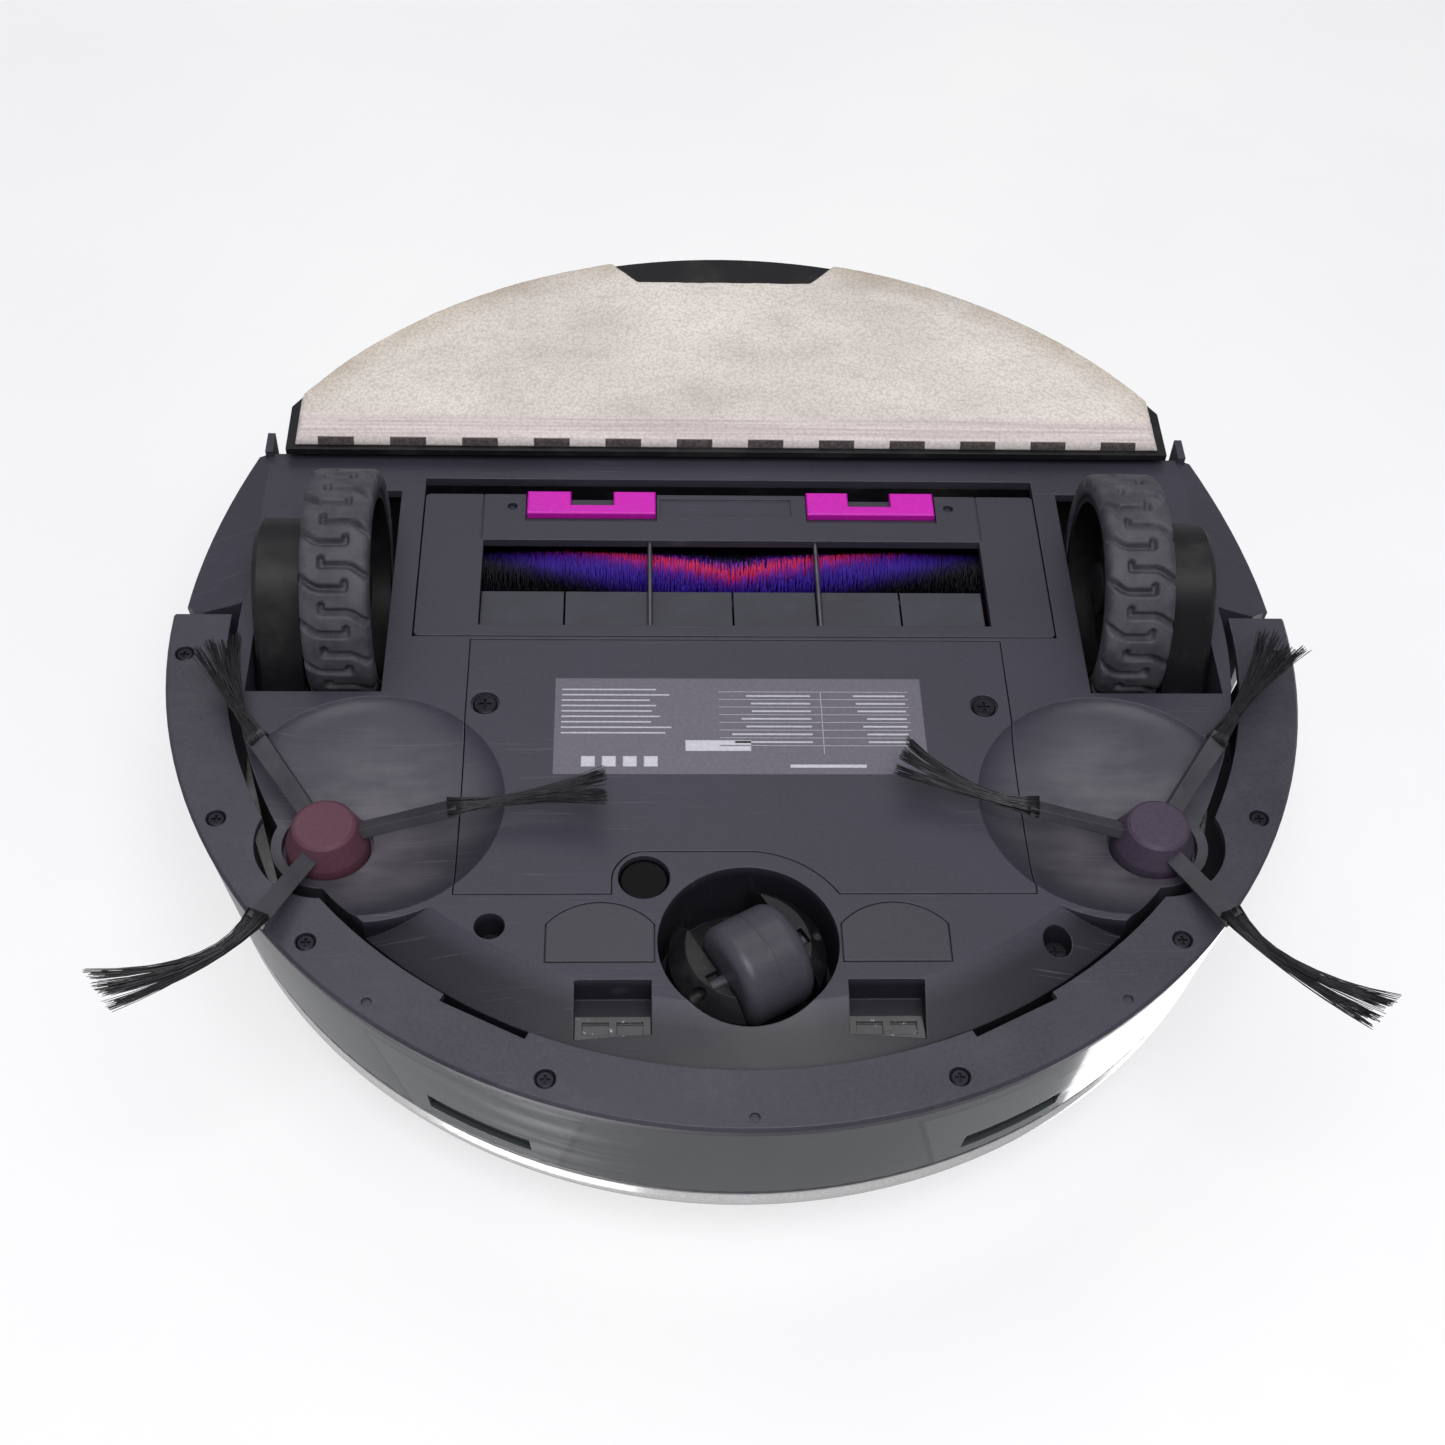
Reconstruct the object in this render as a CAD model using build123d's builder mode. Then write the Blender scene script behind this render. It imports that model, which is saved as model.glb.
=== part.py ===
from build123d import *
from math import cos, radians, sin, sqrt
import os

# Robot vacuum, wheels down. +Z up, front (bumper) towards -Y, the robot's left towards +X.
# The origin is on the floor plane of the hanging wheels, under the centre of the round body.

# Driving dimensions, mm
body_r = 170.0            # outer radius of the round body
body_h = 66.0             # underside to top deck
wheel_r = 35.0            # drive wheel over its lugs
wheel_y = 10.5            # wheel axis, springs fully extended
wheel_drop = 5.0          # wheel axis below the underside
wheel_in = 107.0          # inner face of the tyre
wheel_w = 20.0
base_z = wheel_r + wheel_drop   # height of the flat underside when the wheels hang

floor_t = 3.0             # base plate
skin = 2.0                # inner walls
run_fit = 0.05            # radial clearance of every running fit
wall_foot = 2.0           # the side wall leans in from here
wall_head = 48.0
wall_lean = 5.6
cover_foot = 49.5         # lower rim of the top cover
pan_r = 149.5             # chassis wall behind the bumper
bumper_end = 4.8          # the bumper stops here, just behind the wheel axis
bumper_travel = 3.0
bay_y = 73.0              # rear edge of the chassis, where the bin starts
crease_x = 148.2          # the base slopes up to the wall outside this line, behind the bumper

bowl_xy = (105.5, -67.5)  # dish around each side brush
bowl_r = 38.5
bowl_d = 6.0
hub_xy = (116.0, -79.0)   # side brush axis
hub_well_r = 12.6
caster_y = -114.8
caster_well_r = 24.5
caster_turn = 240.0       # direction in which the caster trails
caster_trail = 5.0

door_x = 79.7             # battery door
door_y = (-99.0, -6.9)
mouth_x = 97.5            # brush opening in the base
mouth_y = (-5.5, 62.2)
brush_y = 26.0
brush_z = 22.2
brush_r = 18.7
window_x = 78.0           # opening of the brush cover
window_y = (-0.8, 35.0)
well_x = (104.8, 144.5)   # drive wheel opening
well_y = (-27.3, 56.5)
pivot_y = -16.0
pivot_z = 22.0
lidar_y = 30.0
lidar_r = 43.0
lidar_motor_x = 40.0
fan_xy = (-45.0, -28.0)
pulley_r = 5.0
rotor_pulley_r = 15.0

os.makedirs("parts", exist_ok=True)


def wall_r(z):
    """Radius of the leaning side wall at a height above the underside."""
    return body_r - wall_lean * (z - wall_foot) / (wall_head - wall_foot)


def level(z):
    """Horizontal plane at a height above the underside."""
    return Plane.XY.offset(base_z + z)


def turned(points, x=0, y=0):
    """Solid of revolution about a vertical axis, from (radius, height) corners."""
    side = Plane(origin=(x, y, base_z), x_dir=(1, 0, 0), z_dir=(0, -1, 0))
    with BuildPart() as solid:
        with BuildSketch(side):
            with BuildLine():
                Polyline(points, close=True)
            make_face()
        revolve(axis=Axis((x, y, 0), (0, 0, 1)))
    return solid.part


def block(x, y, z):
    """Box between two corners, heights counted from the underside."""
    with BuildPart() as solid:
        with BuildSketch(level(z[0])):
            with Locations(((x[0] + x[1]) / 2, (y[0] + y[1]) / 2)):
                Rectangle(x[1] - x[0], y[1] - y[0])
        extrude(amount=z[1] - z[0])
    return solid.part


def post(x, y, r, z):
    """Upright cylinder."""
    with BuildPart() as solid:
        with BuildSketch(level(z[0])):
            with Locations((x, y)):
                Circle(r)
        extrude(amount=z[1] - z[0])
    return solid.part


def shaft(y, z, r, x):
    """Cylinder that lies along X."""
    with BuildPart() as solid:
        with BuildSketch(Plane.YZ.offset(x[0])):
            with Locations((y, base_z + z)):
                Circle(r)
        extrude(amount=x[1] - x[0])
    return solid.part


def radial_plane(x, y, turn):
    """Upright plane through a vertical axis: local x points outwards, local y up."""
    angle = radians(turn)
    return Plane(origin=(x, y, base_z), x_dir=(cos(angle), sin(angle), 0),
                 z_dir=(sin(angle), -cos(angle), 0))


def coil(centre, along, radius, wire, turns, length):
    """Round wire wound into a coil along a direction."""
    with BuildPart() as solid:
        with BuildLine():
            path = Helix(pitch=length / turns, height=length, radius=radius, center=centre, direction=along)
        with BuildSketch(Plane(origin=path @ 0, z_dir=path % 0)):
            Circle(wire)
        sweep(path=path, is_frenet=True)
    return solid.part


def save(name, builder):
    """Label a finished sub-part and write its STEP file."""
    builder.part.label = name
    export_step(builder.part, f"parts/{name}.step")


def save_pair(name, builder):
    """Write a sub-part of the robot's left side and its mirror image."""
    save(f"{name}_left", builder)
    with BuildPart() as other:
        mirror(builder.part, about=Plane.YZ)
    save(f"{name}_right", other)


def both_sides(part, mode=Mode.ADD):
    """Add or cut a piece and its mirror image in the open builder."""
    add(part, mode=mode)
    add(part.mirror(Plane.YZ), mode=mode)


# ---------------------------------------------------------------- chassis

def door_outline(gap):
    """Battery door: a rectangle with a front cut-out round the lens and the caster."""
    left, right = -door_x - gap, door_x + gap
    front, back = door_y[0] - gap, door_y[1] + gap
    arc_r = 30 - gap
    rise = -84.8 - gap
    start = (-2.8, rise)
    reach = sqrt(arc_r ** 2 - (front - caster_y) ** 2)
    with BuildSketch() as outline:
        with BuildLine():
            Polyline((-reach, front), (left, front), (left, back), (right, back), (right, front),
                     (37 - gap, front), (37 - gap, -94.6))
            Spline((37 - gap, -94.6), (34.6 - gap, -88 - gap), (28, rise),
                   tangents=[(0, 1), (-1, 0)])
            Line((28, rise), start)
            ThreePointArc(start, (-15.2, caster_y + sqrt(arc_r ** 2 - 15.2 ** 2)), (-reach, front))
        make_face()
    return outline.sketch


def door_body(gap, thick):
    """The door's flat plate and its thicker corners, which carry part of each dish."""
    with BuildPart() as solid:
        with BuildSketch(level(0)):
            add(door_outline(gap))
        extrude(amount=thick)
        with BuildSketch(level(0)):
            with Locations(bowl_xy, (-bowl_xy[0], bowl_xy[1])):
                Circle(bowl_r + 1.5 + gap)
            add(door_outline(gap), mode=Mode.INTERSECT)
        extrude(amount=bowl_d + 2 + gap)
    return solid.part


def dish():
    """Hollow of a side brush dish."""
    x, y = bowl_xy
    side = Plane(origin=(x, y, base_z), x_dir=(1, 0, 0), z_dir=(0, -1, 0))
    with BuildPart() as solid:
        with BuildSketch(side):
            with BuildLine():
                Polyline((bowl_r, 0), (bowl_r, -1), (0, -1), (0, bowl_d), (8, bowl_d))
                Spline((8, bowl_d), (27, bowl_d * 0.7), (bowl_r, 0), tangents=[(1, 0), (0.7, -1)])
            make_face()
        revolve(axis=Axis((x, y, 0), (0, 0, 1)))
    return solid.part


def front_bevel():
    """Wedge that slopes the base up towards the bumper, between the two dishes."""
    side = Plane(origin=(0, 0, base_z), x_dir=(0.743, -0.669, 0), z_dir=(-0.669, -0.743, 0))
    with BuildPart() as solid:
        with BuildSketch(side):
            with BuildLine():
                Polyline([(134, -1), (134, 0), (pan_r + 1, 8.5), (pan_r + 1, -1)], close=True)
            make_face()
        revolve(axis=Axis((0, 0, 0), (0, 0, -1)), revolution_arc=96)
        both_sides(post(*bowl_xy, bowl_r + 2.2, (-2, 12)), Mode.SUBTRACT)
    return solid.part


def pad_outline(gap):
    """Charging contact, flat in front and rounded behind."""
    with BuildSketch() as outline:
        with BuildLine():
            Polyline((25.4 - gap, -109), (25.4 - gap, -120.8 - gap), (54.2 + gap, -120.8 - gap),
                     (54.2 + gap, -109))
            ThreePointArc((54.2 + gap, -109), (39.8, -102.1 + gap), (25.4 - gap, -109))
        make_face()
    return outline.sketch


def notch_outline():
    """Plan of the chassis behind the bumper ends."""
    with BuildSketch() as outline:
        with BuildLine():
            Polyline([(0, 8.5), (153, 8.5), (162, 9.2), (166.5, 12.8), (175, 16), (175, bay_y), (0, bay_y)],
                     close=True)
        make_face()
        mirror(about=Plane.YZ)
    return outline.sketch


def chassis_shell():
    """Outer tray: a narrow front pan inside the bumper and a full-width rear part."""
    rim = wall_head + 0.8
    with BuildPart() as front:
        add(turned([(0, 0), (pan_r, 0), (pan_r, rim), (0, rim)]))
        both_sides(post(*hub_xy, hub_well_r + 2.9, (0, rim)))
        add(block((-200, 200), (8.5, 200), (-1, 60)), mode=Mode.SUBTRACT)
    with BuildPart() as front_void:
        add(turned([(0, floor_t), (132, floor_t), (pan_r - skin, 11.5), (pan_r - skin, rim), (0, rim)]))
        both_sides(post(*hub_xy, hub_well_r + 0.9, (11, rim)))
        add(block((-200, 200), (8.6, 200), (-1, 60)), mode=Mode.SUBTRACT)
    with BuildPart() as rear:
        with BuildSketch(level(0)):
            add(notch_outline())
        extrude(amount=rim)
        add(turned([(0, 0), (168.6, 0), (168.6, 8), (wall_r(rim), rim), (0, rim)]), mode=Mode.INTERSECT)
        wedge = [(crease_x, -1), (crease_x, 0), (170, 9.5), (175, 9.5), (175, -1)]
        for side in (1, -1):
            with BuildSketch(Plane.XZ.offset(-bay_y - 1)):
                with BuildLine():
                    Polyline([(side * x, base_z + z) for x, z in wedge], close=True)
                make_face()
            extrude(amount=bay_y, mode=Mode.SUBTRACT)
    with BuildPart() as rear_void:
        add(turned([(0, floor_t), (145, floor_t), (163, 14), (wall_r(rim) - skin, rim), (0, rim)]))
        add(block((-200, 200), (-200, 8.5), (-1, 60)), mode=Mode.SUBTRACT)
        both_sides(block((pan_r - 3, 175), (8, 16), (-1, 60)), Mode.SUBTRACT)
        add(block((-200, 200), (bay_y - skin, 200), (-1, 60)), mode=Mode.SUBTRACT)
    return front.part, front_void.part, rear.part, rear_void.part


door_screws = [(74.3, -31.6), (-72.3, -32.3)]
base_holes = [(69.5, -109.5), (-84.3, -112.6)]


def make_base_chassis():
    front, front_void, rear, rear_void = chassis_shell()
    with BuildPart() as base_chassis:
        add(front)
        add(rear)
        add(front_void, mode=Mode.SUBTRACT)
        add(rear_void, mode=Mode.SUBTRACT)
        # bosses behind the dishes, hub wells, caster well and screws
        with BuildPart(mode=Mode.PRIVATE) as bosses:
            both_sides(post(*bowl_xy, bowl_r + 2.5, (0, 10.5)))
            both_sides(post(*hub_xy, hub_well_r + 2.9, (0, 11)))
            both_sides(block((24.5, 48), (-150, -125), (0, 12)))
            add(turned([(0, 0), (pan_r, 0), (pan_r, 12), (0, 12)]), mode=Mode.INTERSECT)
            both_sides(post(*hub_xy, hub_well_r + 2.9, (0, 11)))
        add(bosses.part)
        add(post(0, caster_y, caster_well_r + skin, (0, 26)))
        for x, y in base_holes:
            add(post(x, y, 6.4, (0, 12)))
        for x, y in door_screws:
            add(post(x, y, 5, (2.2, 10)))
        add(front_bevel(), mode=Mode.SUBTRACT)
        both_sides(dish(), Mode.SUBTRACT)
        both_sides(post(*hub_xy, hub_well_r, (-1, 8)), Mode.SUBTRACT)
        both_sides(post(*hub_xy, 3 + run_fit, (0, 12)), Mode.SUBTRACT)
        add(post(0, caster_y, caster_well_r, (-1, 24)), mode=Mode.SUBTRACT)
        add(post(0, caster_y, 5 + run_fit, (20, 30)), mode=Mode.SUBTRACT)
        # door seat, with a ledge all round and the battery opening behind it
        add(door_body(0.35, 2.2), mode=Mode.SUBTRACT)
        add(block((-62, 62), (-80, -12), (0, 10)), mode=Mode.SUBTRACT)
        # brush opening and wheel wells
        add(block((-mouth_x, mouth_x), mouth_y, (-1, 20)), mode=Mode.SUBTRACT)
        both_sides(block(well_x, well_y, (-1, 60)), Mode.SUBTRACT)
        with BuildPart(mode=Mode.PRIVATE) as well_walls:
            both_sides(block((well_x[0] - skin, well_x[0]), (well_y[0] - skin, 58), (floor_t, 48)))
            both_sides(block((well_x[0] - skin, 146), (well_y[0] - skin, well_y[0]), (floor_t, 48)))
            both_sides(block((well_x[1] + 0.1, 147.6), (-25, -7), (0, 32)))
        add(well_walls.part)
        # plate and raised lip behind the swing arm, and a tab at each rear corner
        both_sides(block((128.5, well_x[1] + 1), (41, 58), (0, floor_t)))
        both_sides(block((128.5, 146), (41, 47), (-2.2, 0)))
        both_sides(block((131, 143.5), (47, 49.5), (-1.2, 0)))
        both_sides(block((147, 149.4), (71, 79.5), (-3, 6)))
        both_sides(shaft(pivot_y, pivot_z, 4 + run_fit, (well_x[1] - 1, 147.6)), Mode.SUBTRACT)
        for x, y in door_screws:
            add(post(x, y, 1.5, (2, 8.5)), mode=Mode.SUBTRACT)
        for x, y in base_holes:
            add(post(x, y, 4.2, (-1, 10)), mode=Mode.SUBTRACT)
        # seats of the contacts, the floor sensor and the cliff windows
        with BuildSketch(level(0)):
            add(pad_outline(0.4))
            add(mirror(pad_outline(0.4), about=Plane.YZ, mode=Mode.PRIVATE))
        extrude(amount=1.2, mode=Mode.SUBTRACT)
        add(post(28, -93.6, 7.2, (-1, 2.4)), mode=Mode.SUBTRACT)
        both_sides(block((26, 46.5), (-140.5, -126.5), (-1, 10)), Mode.SUBTRACT)
        # slots for the bumper switches, and the air duct through the rear wall
        both_sides(block((42.5, 47.5), (-155, -138), (16.5, 21.5)), Mode.SUBTRACT)
        add(block((-47.3, 47.3), (bay_y - 3, bay_y + 1), (19.7, 44.3)), mode=Mode.SUBTRACT)
    save("base_chassis", base_chassis)


def make_battery_door():
    with BuildPart() as battery_door:
        add(door_body(0, 2.1))
        both_sides(dish(), Mode.SUBTRACT)
        for x, y in door_screws:
            add(post(x, y, 4.2, (-1, 1.3)), mode=Mode.SUBTRACT)
            add(post(x, y, 1.7, (-1, 4)), mode=Mode.SUBTRACT)
    save("battery_door", battery_door)


def screw(x, y, z, head_r, length):
    """Pan-head screw seen from below, with a cross recess."""
    with BuildPart() as solid:
        add(turned([(0, z), (head_r - 0.5, z), (head_r, z + 0.4), (head_r, z + 1.1), (1.4, z + 1.1),
                    (1.4, z + length), (0, z + length)], x, y))
        with BuildSketch(level(z)):
            with Locations((x, y)):
                Rectangle(head_r, 0.6)
                Rectangle(0.6, head_r)
        extrude(amount=0.7, mode=Mode.SUBTRACT)
    return solid.part


def make_base_screws():
    with BuildPart() as base_screws:
        for x, y in door_screws:
            add(screw(x, y, 0.2, 3.6, 7.5))
        for x, y in base_holes:
            add(screw(x, y, 8.8, 3.8, 1.2))
    save("base_screws", base_screws)


def make_sensors():
    with BuildPart() as floor_sensor_lens:
        add(turned([(0, 1.4), (6.2, 1.4), (7, 1.9), (7, 2.4), (0, 2.4)], 28, -93.6))
    save("floor_sensor_lens", floor_sensor_lens)
    with BuildPart() as cliff_sensor_windows:
        with BuildPart(mode=Mode.PRIVATE) as window:
            add(block((26.2, 46.3), (-140.3, -133.4), (7.4, 10)))
            for x in (28.2, 37.3):
                add(block((x, x + 7), (-139, -135), (7, 8.4)), mode=Mode.SUBTRACT)
        both_sides(window.part)
    save("cliff_sensor_windows", cliff_sensor_windows)
    with BuildPart() as contact_pads:
        with BuildSketch(level(0)):
            add(pad_outline(0))
            add(mirror(pad_outline(0), about=Plane.YZ, mode=Mode.PRIVATE))
        extrude(amount=1.2)
    save("contact_pads", contact_pads)


def make_top_cover():
    """White upper shell: a low rim, a rounded shoulder and a flat deck."""
    rim_r, deck_r = 164.0, 148.0
    shoulder = body_h - 53
    side = Plane(origin=(0, 0, base_z), x_dir=(1, 0, 0), z_dir=(0, -1, 0))
    with BuildPart() as top_cover:
        with BuildSketch(side):
            with BuildLine():
                Polyline((0, body_h - 2.5), (0, body_h), (deck_r, body_h))
                EllipticalCenterArc((deck_r, 53), rim_r - deck_r, shoulder, 0, arc_size=90)
                Polyline((rim_r, 53), (rim_r, cover_foot), (145, cover_foot), (145, 51.5), (161.5, 51.5), (161.5, 53))
                EllipticalCenterArc((deck_r, 53), rim_r - deck_r - 2.5, shoulder - 2.5, 0, arc_size=90)
                Line((deck_r, body_h - 2.5), (0, body_h - 2.5))
            make_face()
        revolve(axis=Axis.Z)
        add(post(0, lidar_y, 13, (60, 70)), mode=Mode.SUBTRACT)
        for x, y in button_spots:
            add(post(x, y, 9.3, (60, 70)), mode=Mode.SUBTRACT)
        # thin trim groove round the deck
        add(turned([(139, body_h + 1), (140, body_h + 1), (140, body_h - 0.5), (139, body_h - 0.5)]),
            mode=Mode.SUBTRACT)
    save("top_cover", top_cover)


button_spots = [(14, -112), (-14, -112)]


def make_buttons():
    for name, (x, y) in zip(("power_button", "home_button"), button_spots):
        with BuildPart() as button:
            add(turned([(0, 58), (10.8, 58), (10.8, 60), (9, 60), (9, body_h + 0.2), (8.4, body_h + 0.6),
                        (0, body_h + 0.4)], x, y))
        save(name, button)


def make_power_parts():
    with BuildPart() as battery_pack:
        add(block((-60, 60), (-84, -50), (3, 23)))
        fillet(battery_pack.edges().filter_by(Axis.X), radius=4)
    save("battery_pack", battery_pack)
    with BuildPart() as main_board:
        add(block((-60, 60), (-84, -50), (23, 24.6)))
        for x, y, w, d, h in ((-40, -68, 14, 14, 2), (-8, -70, 18, 18, 2.4), (28, -60, 10, 8, 7), (44, -76, 12, 6, 9)):
            add(block((x, x + w), (y, y + d / 2), (24.6, 24.6 + h)))
    save("main_board", main_board)


def make_fan():
    x, y = fan_xy
    with BuildPart() as fan_housing:
        add(turned([(0, 4), (20, 4), (20, 36), (18.4, 36), (18.4, 6), (2 + run_fit, 6), (2 + run_fit, 5), (0, 5)], x, y))
        add(turned([(8, 36), (20, 36), (20, 37.5), (8, 37.5)], x, y))
        add(post(x, y, 2 + run_fit, (5, 7)), mode=Mode.SUBTRACT)
    save("fan_housing", fan_housing)
    with BuildPart() as fan_impeller:
        add(turned([(0, 5.2), (2, 5.2), (2, 22), (16.5, 22), (16.5, 23.2), (5, 24), (3, 33), (0, 33)], x, y))
        with BuildSketch(level(23)):
            with Locations((x, y)):
                with PolarLocations(10, 9):
                    Rectangle(11, 1, rotation=25)
        extrude(amount=8)
    save("fan_impeller", fan_impeller)


def make_brush_drive():
    with BuildPart() as brush_housing:
        add(block((-mouth_x - skin, mouth_x + skin), (mouth_y[0] - skin, mouth_y[1] + skin), (floor_t, 47)))
        add(block((-mouth_x, mouth_x), mouth_y, (0, 45)), mode=Mode.SUBTRACT)
        add(block((-47, 47), (mouth_y[1] + skin, bay_y - skin - 0.2), (20, 44)))
        add(block((-45, 45), (mouth_y[1] - 1, bay_y), (22, 42)), mode=Mode.SUBTRACT)
        add(shaft(brush_y, brush_z, 4 + run_fit, (-mouth_x - 3, -mouth_x + 1)), mode=Mode.SUBTRACT)
    save("brush_housing", brush_housing)
    with BuildPart() as brush_motor:
        add(shaft(-24, 26, 11, (36, 92)))
        add(block((92, 101), (-35, -10), (13, 41)))
        add(shaft(-24, 26, 4, (30, 36)))
    save("brush_motor", brush_motor)


def make_side_brush_motors():
    with BuildPart() as side_brush_motors:
        with BuildPart(mode=Mode.PRIVATE) as motor:
            add(post(*hub_xy, 13, (11, 36)))
            add(post(*hub_xy, 4, (36, 41)))
            add(post(*hub_xy, 3 + run_fit, (10, 17)), mode=Mode.SUBTRACT)
        both_sides(motor.part)
    save("side_brush_motors", side_brush_motors)


# ---------------------------------------------------------------- bumper

ring_screws = [(164.4, -11), (147.3, -72), (118.3, -113), (53.3, -154.8)]


def make_bumper():
    band_foot, band_head, band_t = 5.5, 46.5, 1.6
    profile = [(152.5, 2), (169.2, 2), (body_r, 3), (wall_r(band_foot), band_foot),
               (wall_r(band_foot) - band_t, band_foot), (wall_r(band_head) - band_t, band_head),
               (wall_r(band_head), band_head), (wall_r(wall_head), wall_head), (153, wall_head), (153, 46),
               (wall_r(46) - 4, 46), (wall_r(4.5) - 4, 4.5), (152.5, 4.5)]
    with BuildPart() as bumper_shell:
        add(turned(profile))
        add(block((-200, 200), (bumper_end, 200), (-5, 60)), mode=Mode.SUBTRACT)
        both_sides(post(*hub_xy, 20, (-5, 60)), Mode.SUBTRACT)
        with BuildSketch(level(1)):
            with PolarLocations(151.5, 2, start_angle=-90 - 27.1, angular_range=54.2, endpoint=True):
                Rectangle(5.5, 25.5)
        extrude(amount=4, mode=Mode.SUBTRACT)
        for x, y in ring_screws:
            both_sides(post(x, y, 2.9, (1, 3.4)), Mode.SUBTRACT)
            both_sides(post(x, y, 1.4, (3, 4.2)), Mode.SUBTRACT)
        for x, y in ((0, -166.2), (100.6, -131.8)):
            both_sides(post(x, y, 1.4, (1, 3)), Mode.SUBTRACT)
    save("bumper_shell", bumper_shell)
    with BuildPart() as bumper_window:
        low, high = band_foot + 0.1, band_head - 0.1
        add(turned([(wall_r(low), low), (wall_r(high), high), (wall_r(high) - band_t, high),
                    (wall_r(low) - band_t, low)]))
        add(block((-200, 200), (bumper_end, 200), (-5, 60)), mode=Mode.SUBTRACT)
        for angle in (-90 - 26, -90 + 26):
            # sensor slot, and the thin outline of the panel it is in
            with BuildSketch(level(33)):
                with PolarLocations(168, 1, start_angle=angle):
                    Rectangle(14, 31)
            extrude(amount=8, mode=Mode.SUBTRACT)
    save("bumper_window", bumper_window)
    with BuildPart() as bumper_screws:
        for x, y in ring_screws:
            both_sides(screw(x, y, 2.3, 2.6, 1.9))
    save("bumper_screws", bumper_screws)
    with BuildPart() as bumper_switches:
        with BuildPart(mode=Mode.PRIVATE) as switch:
            add(block((38, 52), (-136, -129), (14, 24)))
            add(block((43, 47), (-153.5, -136), (17, 21)))
        both_sides(switch.part)
    save("bumper_switches", bumper_switches)


# ---------------------------------------------------------------- side brushes

arm_turns = (53.5, 173.5, 293.5)    # where the three arms of the left brush stand


def blade_plane(x, y, turn, reach, z):
    """Plane across a brush arm at a distance from the hub axis, tilted with the arm's blade."""
    angle, tilt = radians(turn), radians(25)
    return Plane(origin=(x + reach * cos(angle), y + reach * sin(angle), base_z + z),
                 x_dir=(-sin(angle) * cos(tilt), cos(angle) * cos(tilt), -sin(tilt)),
                 z_dir=(cos(angle), sin(angle), 0))


def make_side_brush():
    x, y = hub_xy
    with BuildPart() as hub:
        add(turned([(0, -4.6), (7.8, -4.6), (8.8, -3.8), (11.3, 3), (11.8, 7.6), (3, 7.6), (3, 16), (0, 16)], x, y))
    save_pair("side_brush_hub", hub)
    with BuildPart() as arms:
        for turn in arm_turns:
            for reach, z, width, thick in ((8, 0.2, 4.8, 3.2), (20, -2.8, 5.0, 2.8), (36.5, -6.6, 5.6, 3.0)):
                with BuildSketch(blade_plane(x, y, turn, reach, z)):
                    Rectangle(width, thick)
            loft(ruled=True)
        add(hub.part, mode=Mode.SUBTRACT)
    save_pair("side_brush_arms", arms)
    with BuildPart() as bristles:
        for turn in arm_turns:
            with BuildSketch(radial_plane(x, y, turn)):
                with BuildLine():
                    Polyline([(36.6, -5.8), (53.5, -7.6), (53.5, -9.2), (36.6, -7.8)], close=True)
                make_face()
            extrude(amount=2.4, both=True)
    save_pair("side_brush_bristles", bristles)


# ---------------------------------------------------------------- drive wheels

def make_drive_wheel():
    arm_x = (129.0, 143.0)
    with BuildPart() as swing_arm:
        with BuildSketch(Plane.YZ.offset(arm_x[0])):
            with Locations((wheel_y, base_z - wheel_drop)):
                Circle(20)
            with Locations((pivot_y, base_z + pivot_z)):
                Circle(8.5)
            make_hull()
        extrude(amount=arm_x[1] - arm_x[0])
        chamfer(swing_arm.edges().group_by(Axis.X)[-1], length=1.5)
        # coil seat, pivot pin, axle bore and motor pocket
        add(shaft(pivot_y, pivot_z, 9.6, (arm_x[0], 135)), mode=Mode.SUBTRACT)
        add(shaft(pivot_y, pivot_z, 4.5, (arm_x[0], 135)))
        add(shaft(pivot_y, pivot_z, 4, (arm_x[1], 147.4)))
        add(shaft(wheel_y, -wheel_drop, 4 + run_fit, (arm_x[0], 136)), mode=Mode.SUBTRACT)
        add(shaft(wheel_y, -wheel_drop, 13, (137.5, arm_x[1])), mode=Mode.SUBTRACT)
    save_pair("swing_arm", swing_arm)
    with BuildPart() as drive_motor:
        add(shaft(wheel_y, -wheel_drop, 13, (137.5, 142)))
        add(shaft(wheel_y, -wheel_drop, 6, (142, 143)))
    save_pair("drive_motor", drive_motor)
    with BuildPart() as suspension_springs:
        both_sides(coil((129.9, pivot_y, base_z + pivot_z), (1, 0, 0), 6.9, 0.7, 3, 4.3))
    save("suspension_springs", suspension_springs)
    axle = (wheel_y, -wheel_drop)
    outer = wheel_in + wheel_w
    with BuildPart() as wheel_rim:
        add(shaft(*axle, 29, (wheel_in + 0.5, outer - 0.5)))
        add(shaft(*axle, 26.5, (wheel_in, wheel_in + 9)), mode=Mode.SUBTRACT)
        add(shaft(*axle, 26.5, (outer - 5, outer)), mode=Mode.SUBTRACT)
        add(shaft(*axle, 8, (wheel_in + 4, outer - 0.5)))
        add(shaft(*axle, 4, (outer - 1, 135.5)))
        with BuildSketch(Plane.YZ.offset(wheel_in)):
            with Locations((axle[0], base_z + axle[1])):
                with PolarLocations(17, 6):
                    Circle(4)
        extrude(amount=wheel_w, mode=Mode.SUBTRACT)
    save_pair("wheel_rim", wheel_rim)
    with BuildPart() as tyre:
        add(shaft(*axle, wheel_r, (wheel_in, outer)))
        fillet(tyre.edges(), radius=2)
        add(shaft(*axle, 29, (wheel_in, outer)), mode=Mode.SUBTRACT)
    save_pair("tyre", tyre)


# ---------------------------------------------------------------- main brush

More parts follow.
